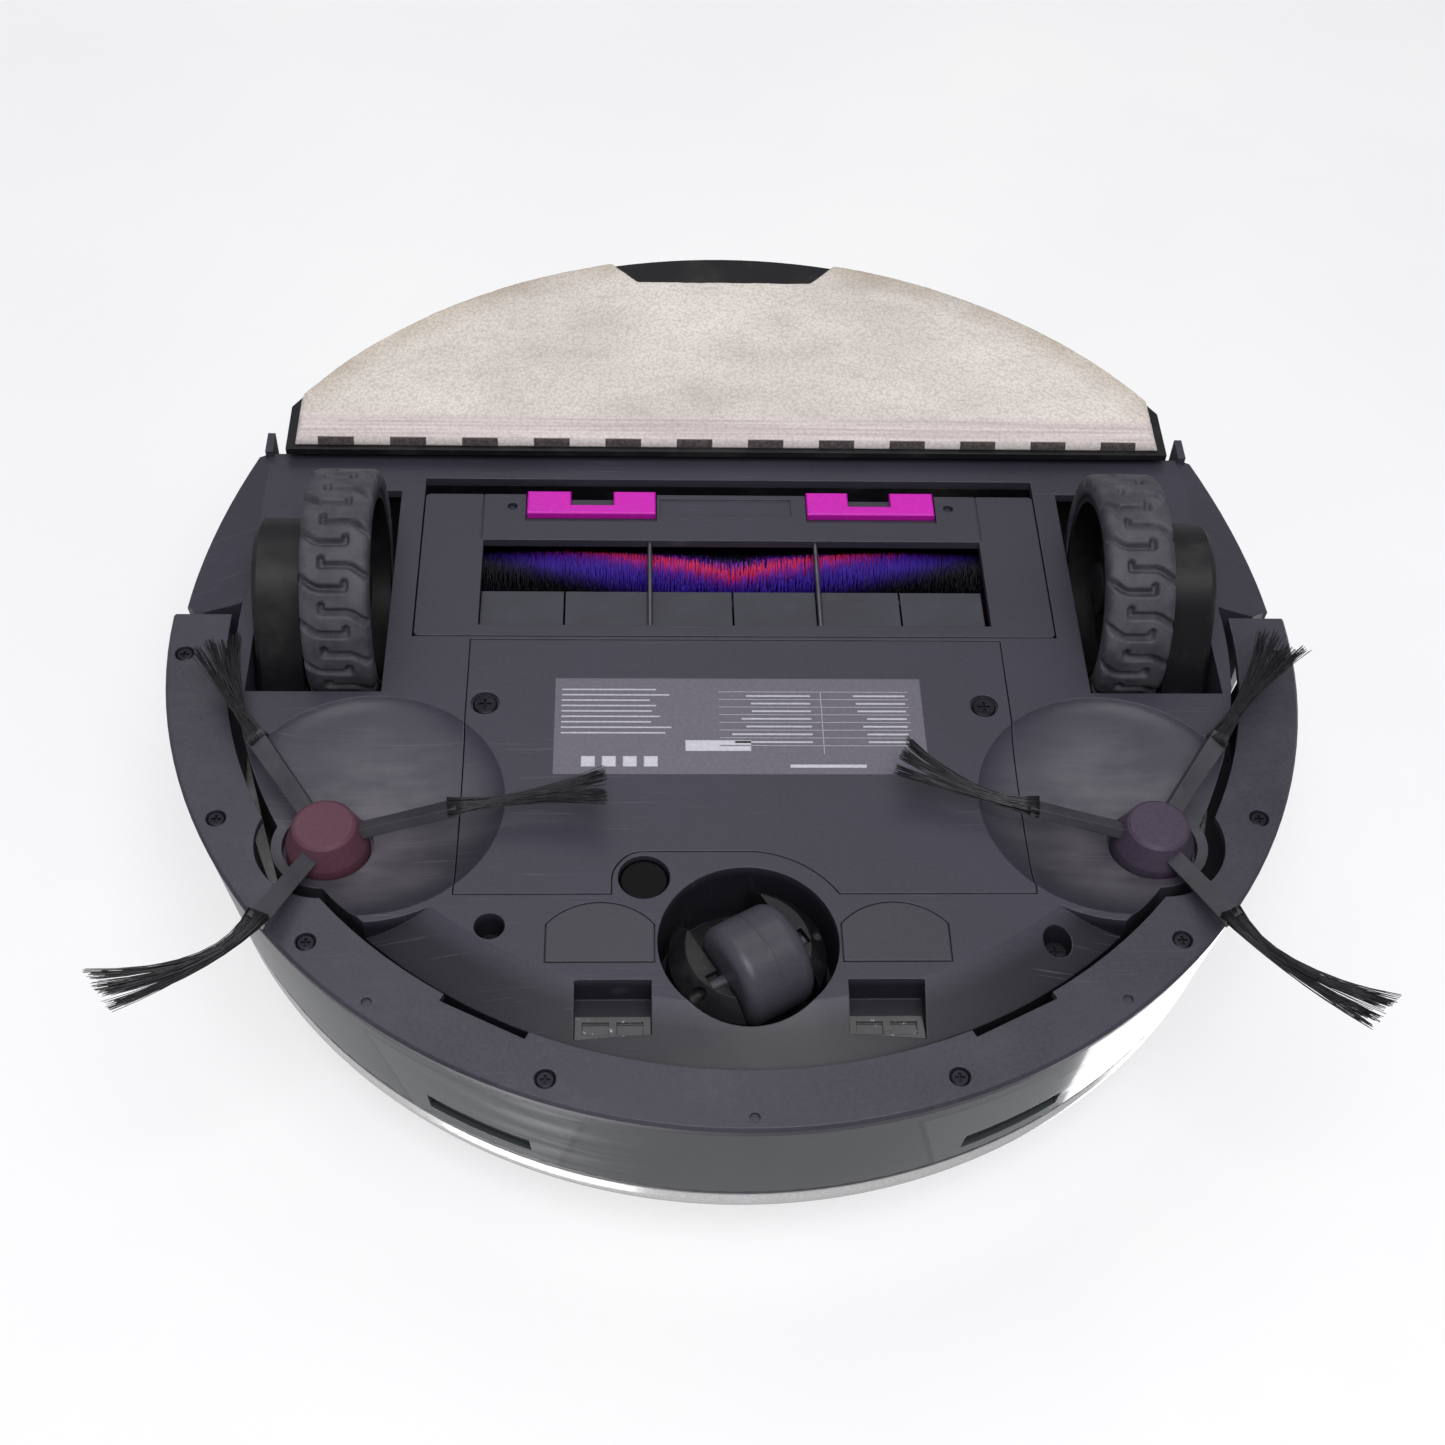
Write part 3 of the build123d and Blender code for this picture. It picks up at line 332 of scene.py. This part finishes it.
def cliff_window():
    """Dark smoked window of a drop sensor, with scattered bright specks."""
    s = Shader("cliff_window")
    tone = s.mix(s.span(s.noise(200, 3), 0.4, 0.7), shade(14, 13, 17), shade(34, 32, 39))
    tone = s.mix(s.span(s.noise(520, 4), 0.64, 0.72, 0, 0.7), tone, shade(176, 174, 186))
    s.set(Base_Color=tone, Roughness=s.span(s.noise(160, 3), 0.3, 0.7, 0.08, 0.25), Coat_Weight=0.4)
    s.set(Normal=s.bump(s.noise(420, 3), 0.4, 0.2 * MM, s.rounded(0.3 * MM)))
    return s


def metal(name, colour, roughness=0.3):
    s = Shader(name)
    tone = s.mix(s.span(s.noise(150, 4), 0.3, 0.75), scaled(colour, 0.72), scaled(colour, 1.1))
    brushed = s.noise(1, 2, s.stretched((90, 1600, 90), 12))
    s.set(Base_Color=tone, Metallic=1.0, Roughness=s.span(brushed, 0.3, 0.7, roughness, roughness + 0.18))
    s.set(Normal=s.bump(brushed, 0.12, 0.05 * MM, s.rounded(0.3 * MM)))
    return s


def circuit_board():
    s = Shader("board")
    cells = s.add("ShaderNodeTexVoronoi", {"Vector": s.stretched((260, 260, 260)), "Scale": 1.0},
                  distance="CHEBYCHEV").outputs["Distance"]
    tone = s.mix(s.span(cells, 0.38, 0.42), shade(24, 84, 48), shade(38, 112, 66))
    s.set(Base_Color=tone, Roughness=s.span(s.noise(200), 0.3, 0.7, 0.3, 0.45))
    s.set(Normal=s.bump(cells, 0.2, 0.1 * MM))
    return s


def paper():
    s = Shader("filter_paper")
    fibres = s.noise(1, 4, s.stretched((500, 500, 2200)))
    tone = s.mix(s.span(fibres, 0.35, 0.65), shade(206, 204, 196), shade(236, 234, 228))
    s.set(Base_Color=tone, Roughness=0.9)
    s.set(Normal=s.bump(fibres, 0.4, 0.1 * MM))
    return s


finishes = {
    "base_plastic": base_plastic(),
    "black_plastic": plastic("black_plastic", shade(17, 17, 20), 0.42, dust=0.08, scratches=0.3, shine=0.3),
    "roller_plastic": plastic("roller_plastic", shade(60, 59, 67), 0.36),
    "bin_plastic": plastic("bin_plastic", shade(30, 30, 33), 0.3, grain=0.12, dust=0.08, scratches=0.25),
    "bumper_plastic": plastic("bumper_plastic", shade(58, 56, 66), 0.38, dust=0.06, scratches=0.3, wear=0.4),
    "gloss_band": gloss_band(),
    "white_shell": plastic("white_shell", shade(212, 212, 211), 0.22, grain=0.05, mottle=0.02, wear=0.0,
                           coat=0.5),
    "turret_plastic": plastic("turret_plastic", shade(44, 45, 48), 0.34, grain=0.15),
    "button_plastic": plastic("button_plastic", shade(206, 208, 210), 0.3, grain=0.1, mottle=0.03, wear=0.1),
    "steel": metal("steel", shade(176, 176, 180), 0.28),
    "motor_can": metal("motor_can", shade(150, 150, 154), 0.36),
    "battery_wrap": plastic("battery_wrap", shade(38, 92, 150), 0.32, grain=0.1),
    "board": circuit_board(),
    "dark_lens": plastic("black_lens", shade(5, 4, 6), 0.35, grain=0.05, wear=0.05, shine=0.1),
    "clear_window": cliff_window(),
    "brush_bristle": roller_fur(),
    "flap_rubber": soft_rubber("flap_rubber", shade(54, 54, 63)),
    "latch_plastic": plastic("latch_plastic", shade(196, 20, 172), 0.4, grain=0.15, mottle=0.05, wear=0.15),
    "tyre_rubber": tyre_rubber(),
    "hub_left": plastic("hub_left", shade(84, 50, 64), 0.55, grain=0.3, dust=0.06, wear=0.4),
    "hub_right": plastic("hub_right", shade(66, 56, 74), 0.55, grain=0.3, dust=0.06, wear=0.4),
    "arm_rubber": soft_rubber("arm_rubber", shade(56, 55, 61), 0.45),
    "side_bristle": bristle("side_bristle", shade(30, 30, 34)),
    "mop_fabric": mop_fabric(),
    "filter_paper": paper(),
    "belt_rubber": soft_rubber("belt_rubber", shade(26, 26, 28)),
    "label_film": plastic("label_film", shade(98, 94, 106), 0.42, grain=0.05, mottle=0.05, wear=0.2),
    "label_ink": plastic("label_ink", shade(186, 184, 194), 0.5, grain=0.05, mottle=0.06, wear=0.0),
}

# nodes whose colour differs from the rest of their slot
fittings = {
    "base_screws": metal("screw_steel", shade(50, 49, 55), 0.42),
    "bumper_screws": metal("bumper_screw_steel", shade(54, 53, 60), 0.4),
    "frame_wires": metal("wire_steel", shade(120, 117, 124), 0.3),
    "contact_pads": plastic("contact_pads", shade(54, 52, 60), 0.34, grain=0.1, wear=0.2),
}

for node in nodes.values():
    for place in node.material_slots:
        finish = fittings.get(node.name) or finishes[place.material.name.split(".")[0]]
        place.material = finish.material


# ---------------------------------------------------------------- mesh helpers

def piece(name, verts, faces, finish, body, replaced=(), smooth=True):
    """A mesh in the row frame that rides on a body and takes one of the record's finishes."""
    mesh = bpy.data.meshes.new(name)
    mesh.from_pydata(verts, [], faces)
    mesh.validate()
    mesh.polygons.foreach_set("use_smooth", [smooth] * len(mesh.polygons))
    made = bpy.data.objects.new(name, mesh)
    bpy.context.scene.collection.objects.link(made)
    mesh.materials.append(finishes[finish].material)
    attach(made, body)
    if replaced:
        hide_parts(*replaced)
    return made


def ring_faces(count, around):
    """Quads between rings of points, each ring closed on itself, and the last ring joined to the first."""
    faces = []
    for i in range(count):
        for j in range(around):
            k = (j + 1) % around
            a, b = i * around, (i + 1) % count * around
            faces.append((a + j, b + j, b + k, a + k))
    return faces


def hair(paths, thickness, tip=0.45):
    """Three-sided tapering strands. paths is (strands, points, 3). Returns vertices and faces."""
    count, steps, _ = paths.shape
    along = np.gradient(paths, axis=1)
    along /= np.linalg.norm(along, axis=2, keepdims=True)
    across = np.cross(along, np.array([0.31, 0.53, 0.79]))
    across /= np.linalg.norm(across, axis=2, keepdims=True)
    third = np.cross(along, across)
    radius = thickness / 2 * np.linspace(1, tip, steps)[None, :, None]
    rings = [paths + radius * (math.cos(a) * across + math.sin(a) * third)
             for a in (0, 2 * math.pi / 3, 4 * math.pi / 3)]
    verts = np.stack(rings, axis=2).reshape(-1, 3)
    pattern = [(0, 2, 1)]
    for j in range(steps - 1):
        for k in range(3):
            m = (k + 1) % 3
            pattern.append((3 * j + k, 3 * j + m, 3 * j + 3 + m, 3 * j + 3 + k))
    end = 3 * (steps - 1)
    pattern.append((end, end + 1, end + 2))
    faces = [tuple(i + 3 * steps * n for i in f) for n in range(count) for f in pattern]
    return verts, faces


# ---------------------------------------------------------------- tyres

LUGS = 16
GROOVE_MM = (0.5, 1.25)      # half width at the bottom and at the top of a groove
GROOVE_DEPTH_MM = 2.3


def groove_distance(x, s, pitch):
    """Distance in mm from points on the unrolled tread to the nearest groove line.
    Each groove starts at one edge, slants, runs level past the middle and ends in a hook."""
    half = pitch / 2
    first = [(-2, -4.6), (0, -3.6), (4.4, -0.5), (6.0, 0), (13.4, 0), (13.4, -1.9)]
    second = [(6.6, half - 1.9), (6.6, half), (14.0, half), (15.6, half + 0.5), (20, half + 3.6),
              (22, half + 4.6)]
    best = np.full(np.broadcast(x, s).shape, 99.0)
    for line in (first, second):
        for shift in (-pitch, 0, pitch):
            for (x0, s0), (x1, s1) in zip(line, line[1:]):
                dx, ds = x1 - x0, s1 - s0
                t = np.clip(((x - x0) * dx + (s - s0 - shift) * ds) / (dx * dx + ds * ds), 0, 1)
                best = np.minimum(best, np.hypot(x - x0 - t * dx, s - s0 - shift - t * ds))
    return best


def make_tyre(side):
    low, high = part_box(f"tyre_{side}")
    radius = (high.z - low.z) / 2 / MM
    width = (high.x - low.x) / MM
    centre = (low + high) / 2
    shoulder = [(0, 6.0, 0), (0, 4.6, 0.0), (0, 3.2, 0.35), (0.10, 2.1, 0.7), (0.42, 1.1, 1), (1.0, 0.5, 1),
                (1.8, 0.2, 1)]
    tread = [(x, 0.12 * abs(x - width / 2) / (width / 2), 1) for x in np.linspace(2.6, width - 2.6, 34)]
    profile = shoulder + tread + [(width - x, d, w) for x, d, w in reversed(shoulder)]
    bore = [(width * 0.66, 6.0, 0), (width * 0.33, 6.0, 0)]
    across = np.array([p[0] for p in profile + bore])
    depth = np.array([p[1] for p in profile + bore])
    weight = np.array([p[2] for p in profile + bore])
    steps = LUGS * 28
    turn = np.arange(steps) / steps * 2 * math.pi
    pitch = 2 * math.pi * radius / LUGS
    s = np.mod(-turn * radius, pitch)[:, None]
    away = groove_distance(across[None, :], s, pitch)
    sunk = np.clip((GROOVE_MM[1] - away) / (GROOVE_MM[1] - GROOVE_MM[0]), 0, 1)
    sunk = sunk * sunk * (3 - 2 * sunk)
    r = radius - depth[None, :] - sunk * weight[None, :] * GROOVE_DEPTH_MM
    verts = np.stack([np.broadcast_to(high.x / MM - across[None, :], r.shape),
                      centre.y / MM + r * np.sin(turn)[:, None],
                      centre.z / MM - r * np.cos(turn)[:, None]], axis=2).reshape(-1, 3) * MM
    piece(f"lugged_tyre_{side}", verts.tolist(), ring_faces(steps, len(across)), "tyre_rubber",
          f"drive_wheel_{side}", [f"tyre_{side}"])


# ---------------------------------------------------------------- roller hair

CHEVRON_SLOPE = 0.32
BAND_MM = 39.2               # the colour rows repeat three times round the roller
BAND_START_MM = 24.0         # where round the roller the first row starts


def make_roller_hair():
    """Dense bristles on the whole roller, each coloured by its row."""
    low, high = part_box("brush_bristles")
    centre, radius = (low + high) / 2, (high.z - low.z) / 2
    rows, columns = 130, 220
    turn = (np.arange(rows)[:, None] + chance.uniform(-0.5, 0.5, (rows, columns))) / rows * 2 * math.pi
    x = low.x + (np.arange(columns)[None, :] + chance.uniform(0.05, 0.95, (rows, columns))) / columns \
        * (high.x - low.x)
    turn, x = turn.ravel(), x.ravel()
    arc = turn * radius / MM
    band = np.mod(arc - CHEVRON_SLOPE * np.abs(x) / MM + BAND_START_MM, BAND_MM) / BAND_MM
    reach = radius * (1 - 0.035 * np.abs(np.sin(2 * math.pi * band)) - chance.uniform(0, 0.035, x.size))
    lean, drift = chance.normal(0.10, 0.05, x.size), chance.normal(0, 0.3 * MM, x.size)
    path = []
    for share in (0.0, 0.55, 1.0):
        r = radius * 0.52 + (reach - radius * 0.52) * share
        a = turn + lean * share ** 2
        inside = np.clip(x + drift * share, low.x + 0.2 * MM, high.x - 0.2 * MM)
        path.append(np.stack([inside, centre.y + r * np.sin(a), centre.z - r * np.cos(a)], axis=1))
    verts, faces = hair(np.stack(path, axis=1), 0.34 * MM)
    made = piece("roller_hair", verts.tolist(), faces, "brush_bristle", "main_brush", ["brush_bristles"])
    tint = made.data.attributes.new("band", "FLOAT", "POINT")
    tint.data.foreach_set("value", np.repeat(band, 9).astype(np.float32))


# ---------------------------------------------------------------- side brush bristles

# where each bundle's tip has come to rest, in mm from its hub axis, outwards and forwards of the hub
BUNDLES = {"left": [(53.5, (36, 61), 15), (173.5, (-78, 8), 12), (293.5, (51, -58), 13)],
           "right": [(126.5, (-46, 63), 15), (6.5, (72, 19), 12), (246.5, (-47, -66), 13)]}
FERRULE_MM = 34.0                # where the bristles leave the arm, from the hub axis
BRISTLES = 150                   # in each bundle
CLUMP_ASIDE = np.array([-0.42, -0.12, 0.16, 0.44])      # the four clumps a bundle splits into,
CLUMP_UP = np.array([0.3, -0.8, 0.6, -0.2])             # as shares of its spread to the side and in height


def make_side_bristles(side):
    low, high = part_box(f"side_brush_hub_{side}")
    hub = (low + high) / 2
    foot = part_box(f"side_brush_bristles_{side}")
    root_z = (foot[0].z + foot[1].z) / 2
    paths = []
    for angle, tip, fan in BUNDLES[side]:
        out = np.array([math.cos(math.radians(angle)), math.sin(math.radians(angle)), 0])
        aside = np.array([-out[1], out[0], 0])
        root = np.array([hub.x, hub.y, root_z]) + out * FERRULE_MM * MM
        end = np.array([hub.x + tip[0] * MM, hub.y + tip[1] * MM, root_z - 4.5 * MM])
        heading = (end - root) / np.linalg.norm(end - root)
        spread = np.array([-heading[1], heading[0], 0])
        clump = chance.integers(0, 4, BRISTLES)
        clump_at = CLUMP_ASIDE[clump] + chance.normal(0, 0.07, BRISTLES)
        clump_up = CLUMP_UP[clump] + chance.normal(0, 0.35, BRISTLES)
        start = chance.uniform(-0.5, 0.5, (BRISTLES, 2))
        length = 1 - chance.uniform(0, 0.14, BRISTLES) ** 1.3
        points = []
        for t in np.linspace(0, 1, 9):
            u = t * length
            bend = root + out * np.linalg.norm(end - root) * 0.42
            middle = (1 - u)[:, None] ** 2 * root + (2 * u * (1 - u))[:, None] * bend \
                + (u ** 2)[:, None] * end
            open_up = (u ** 2.2)[:, None]
            gather = (1 - 0.55 * np.sin(np.pi * np.minimum(u, 0.5)))[:, None]
            middle = middle + aside * start[:, :1] * 6.0 * MM * gather * (1 - open_up)
            middle = middle + np.array([0, 0, 1]) * start[:, 1:] * 2.2 * MM * gather
            middle = middle + spread * clump_at[:, None] * fan * MM * open_up
            middle = middle + np.array([0, 0, 1]) * clump_up[:, None] * 1.6 * MM * open_up
            points.append(middle)
        paths.append(np.stack(points, axis=1))
    verts, faces = hair(np.concatenate(paths), 0.42 * MM, tip=0.5)
    piece(f"bristle_tufts_{side}", verts.tolist(), faces, "side_bristle", f"side_brush_{side}",
          [f"side_brush_bristles_{side}"])


# ---------------------------------------------------------------- mop cloth

REAR_EDGE_MM = 167.4              # radius of the cloth's rear edge
NOTCH_INNER, NOTCH_OUTER = (30, 153), (42, 166)      # corners of the notch for the plate's tongue, in mm
PILE_WAVES = ((34, 0.22), (13, 0.16), (5, 0.12), (2.3, 0.10))      # length and height of the unevenness, mm


def make_mop_cloth():
    """One cut of looped cloth over the plate, its pile uneven and its edge rolled over."""
    low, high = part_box("mop_cloth")
    half, front = high.x / MM, low.y / MM
    columns, rows = 300, 110
    x = np.linspace(-half, half, columns)
    back = np.sqrt(REAR_EDGE_MM ** 2 - x ** 2)
    (x0, y0), (x1, y1) = NOTCH_INNER, NOTCH_OUTER
    slant = y0 + (np.abs(x) - x0) * (y1 - y0) / (x1 - x0)
    back = np.minimum(back, np.maximum(slant, y0))
    share = np.linspace(0, 1, rows)
    share = share - 0.028 * np.sin(2 * math.pi * share)
    grid_x = np.repeat(x[:, None], rows, axis=1)
    grid_y = front + share[None, :] * (back - front)[:, None]
    to_edge = np.minimum.reduce([grid_y - front, back[:, None] - grid_y,
                                 (half - np.abs(grid_x)) + 0 * grid_y])
    rolled = 1 - np.clip(to_edge / 2.6, 0, 1)
    rolled = 1 - np.sqrt(np.clip(1 - rolled ** 2, 0, 1))
    pile = np.zeros_like(grid_x)
    for size, height in PILE_WAVES:
        for _ in range(5):
            a, p = chance.uniform(0, math.pi), chance.uniform(0, 6.28)
            pile += height / 2.2 * np.sin((grid_x * math.cos(a) + grid_y * math.sin(a)) * 6.283 / size + p)
    flat_band = np.clip((front + 12 - grid_y) / 1.5, 0, 1)
    thick = (high.z - low.z) / MM
    depth = thick * (1 - 0.72 * rolled) - 0.45 + pile * 0.35 * (1 - 0.7 * flat_band) - 0.45 * flat_band
    depth = np.clip(depth, 0.5, thick)
    top = np.stack([grid_x * MM, grid_y * MM, high.z - depth * MM], axis=2).reshape(-1, 3)
    under = np.concatenate([np.stack([x * MM, np.full(columns, front) * MM, np.full(columns, high.z)], 1),
                            np.stack([x * MM, back * MM, np.full(columns, high.z)], 1)])
    verts = np.concatenate([top, under])
    first, last = columns * rows, columns * rows + columns
    faces = []
    for i in range(columns - 1):
        a, b = i * rows, (i + 1) * rows
        for j in range(rows - 1):
            faces.append((a + j, a + j + 1, b + j + 1, b + j))
        faces.append((first + i, a, b, first + i + 1))
        faces.append((a + rows - 1, last + i, last + i + 1, b + rows - 1))
        faces.append((first + i, first + i + 1, last + i + 1, last + i))
    ends = list(range(rows))
    faces.append(tuple([first] + [last] + ends[::-1]))
    end = (columns - 1) * rows
    faces.append(tuple([last + columns - 1, first + columns - 1] + [end + j for j in ends]))
    made = piece("mop_cloth_pile", verts.tolist(), faces, "mop_fabric", "mop", ["mop_cloth"])


# ---------------------------------------------------------------- rating label

LABEL_X, LABEL_Y = (-54, 54), (-58, -22)      # edges of the sticker in mm
FILM_MM, INK_MM = 0.08, 0.04                  # thickness of the sticker and of its print
NOTE_TOP, NOTE_PITCH, NOTE_LINES = -26.4, 2.05, 9
TABLE_TOP, ROW_PITCH, ROWS = -27.2, 2.9, 8
COLUMN_X = ((-50, (10, 17)), (-22, (14, 24)))  # where each column starts, and how long its words are


def box_mesh(boxes):
    """Vertices and faces of many upright boxes, each ((x0, x1), (y0, y1), (z0, z1)) in mm."""
    verts, faces = [], []
    for (x0, x1), (y0, y1), (z0, z1) in boxes:
        n = len(verts)
        verts += [(x * MM, y * MM, z * MM) for z in (z0, z1) for y in (y0, y1) for x in (x0, x1)]
        faces += [tuple(n + i for i in f) for f in
                  ((0, 2, 3, 1), (4, 5, 7, 6), (0, 1, 5, 4), (2, 6, 7, 3), (0, 4, 6, 2), (1, 3, 7, 5))]
    return verts, faces


def make_label():
    """A plain rating label: a satin sticker printed with rules, blank fields and bars, no words."""
    skin = UNDERSIDE / MM
    paper_z, print_z = (skin - FILM_MM, skin), (skin - FILM_MM - INK_MM, skin - FILM_MM)
    verts, faces = box_mesh([(LABEL_X, LABEL_Y, paper_z)])
    sticker = piece("rating_label", verts, faces, "label_film", "chassis", smooth=False)
    bars = []
    for i in range(NOTE_LINES):
        y = NOTE_TOP - NOTE_PITCH * i
        length = chance.uniform(25, 33)
        bars.append(((52 - length, 52), (y - 0.28, y + 0.28), print_z))
    for i in range(ROWS):
        y = TABLE_TOP - ROW_PITCH * i
        bars.append(((-50, 6), (y - 0.09, y + 0.09), print_z))
        for x, (shortest, longest) in COLUMN_X:
            reach = chance.uniform(shortest, longest)
            if i < ROWS - 1:
                bars.append(((x + 1, x + 1 + reach), (y - 1.9, y - 1.25), print_z))
    bars.append(((-24.2, -24.0), (-50.4, -27.2), print_z))      # rule between the columns
    bars.append(((-3, 16), (-49.5, -45.5), print_z))            # blank field
    bars.append(((-36, -14), (-55.6, -54.4), print_z))          # footer bar
    for i in range(4):
        bars.append(((24 + 6 * i, 28 + 6 * i), (-55.2, -51.4), print_z))
    verts, faces = box_mesh(bars)
    ink = piece("label_print", verts, faces, "label_ink", "chassis", smooth=False)


for side in ("left", "right"):
    make_tyre(side)
    make_side_bristles(side)
make_roller_hair()
make_mop_cloth()
make_label()


# ---------------------------------------------------------------- stage, lights, camera

def one_sided_floor(name, z, faces_up):
    """A pale sheet that shows from the side it faces, and that lets light through."""
    size = 9.0
    corners = [(-size, -size, z), (size, -size, z), (size, size, z), (-size, size, z)]
    mesh = bpy.data.meshes.new(name)
    mesh.from_pydata(corners, [], [(0, 1, 2, 3) if faces_up else (0, 3, 2, 1)])
    made = bpy.data.objects.new(name, mesh)
    bpy.context.scene.collection.objects.link(made)
    s = Shader(name)
    tone = s.mix(s.span(s.noise(6, 4), 0.3, 0.7), shade(186, 186, 189), shade(192, 192, 193))
    s.set(Base_Color=tone, Roughness=0.8, Specular_IOR_Level=0.1, Emission_Color=(1, 1, 1, 1),
          Emission_Strength=0.47)
    s.set(Normal=s.bump(s.noise(60, 3), 0.02, 1 * MM))
    behind = s.add("ShaderNodeNewGeometry").outputs["Backfacing"]
    clear = s.add("ShaderNodeBsdfTransparent").outputs[0]
    both = s.add("ShaderNodeMixShader", {0: behind, 1: s.surface.outputs[0], 2: clear})
    s.tree.links.new(both.outputs[0], s.tree.nodes["Material Output"].inputs["Surface"])
    mesh.materials.append(s.material)
    made.visible_diffuse = False
    made.visible_glossy = False
    made.visible_transmission = False
    made.visible_shadow = False


def area_light(name, place, target, size, power):
    data = bpy.data.lights.new(name, "AREA")
    data.shape = "DISK"
    data.size = size
    data.energy = power
    made = bpy.data.objects.new(name, data)
    bpy.context.scene.collection.objects.link(made)
    made.location = place
    made.rotation_euler = (Vector(target) - Vector(place)).to_track_quat("-Z", "Y").to_euler()


def pale_world():
    world = bpy.data.worlds.new("studio")
    bpy.context.scene.world = world
    world.use_nodes = True
    tree = world.node_tree
    around = tree.nodes["Background"]
    around.inputs["Color"].default_value = (0.96, 0.96, 1.0, 1)
    around.inputs["Strength"].default_value = 0.36
    seen = tree.nodes.new("ShaderNodeBackground")
    seen.inputs["Color"].default_value = (0.66, 0.66, 0.67, 1)
    path = tree.nodes.new("ShaderNodeLightPath")
    both = tree.nodes.new("ShaderNodeMixShader")
    tree.links.new(path.outputs["Is Camera Ray"], both.inputs[0])
    tree.links.new(around.outputs[0], both.inputs[1])
    tree.links.new(seen.outputs[0], both.inputs[2])
    tree.links.new(both.outputs[0], tree.nodes["World Output"].inputs["Surface"])


CAMERA_TURN = (39.313, 2.446, 0.113)      # tilt, pan and roll in degrees
CAMERA_PLACE = (0.030517, -0.416325, -0.421021)
CAMERA_LENS, FILM_WIDTH = 51.0, 36.0      # mm


def photo_camera():
    """Looks up at the underside from in front and below, as if the robot lay on its back."""
    tilt, pan, roll = (math.radians(a) for a in CAMERA_TURN)
    right, up = Vector((-1, 0, 0)), Vector((0, math.cos(tilt), -math.sin(tilt)))
    ahead = Vector((0, math.sin(tilt), math.cos(tilt)))
    right, ahead = (math.cos(pan) * right - math.sin(pan) * ahead,
                    math.sin(pan) * right + math.cos(pan) * ahead)
    right, up = (math.cos(roll) * right + math.sin(roll) * up,
                 math.cos(roll) * up - math.sin(roll) * right)
    data = bpy.data.cameras.new("camera")
    data.lens = CAMERA_LENS
    data.sensor_width = FILM_WIDTH
    data.clip_start = 0.02
    data.clip_end = 40
    camera = bpy.data.objects.new("camera", data)
    bpy.context.scene.collection.objects.link(camera)
    turned = Matrix((right, up, -ahead)).transposed()
    camera.matrix_world = Matrix.Translation(CAMERA_PLACE) @ turned.to_4x4()
    bpy.context.scene.camera = camera


one_sided_floor("floor_under_wheels", 0.0, True)
one_sided_floor("table_over_turret", TURRET_TOP + 0.3 * MM, False)
pale_world()
area_light("key_below", (-0.05, -0.5, -1.0), (0, -0.05, 0.05), 0.8, 9)
area_light("rear_below", (0.1, 0.6, -1.3), (0, -0.1, 0.05), 1.2, 4.5)
area_light("front_side", (0.5, -1.5, -0.1), (0, 0, 0.09), 0.9, 0.7)
area_light("key_above", (0.7, -0.8, 1.4), (0, 0, 0.05), 0.9, 12)
area_light("fill_above", (-0.9, 0.6, 1.2), (0, 0, 0.05), 1.2, 7)
photo_camera()
bpy.context.scene.view_settings.view_transform = "Standard"
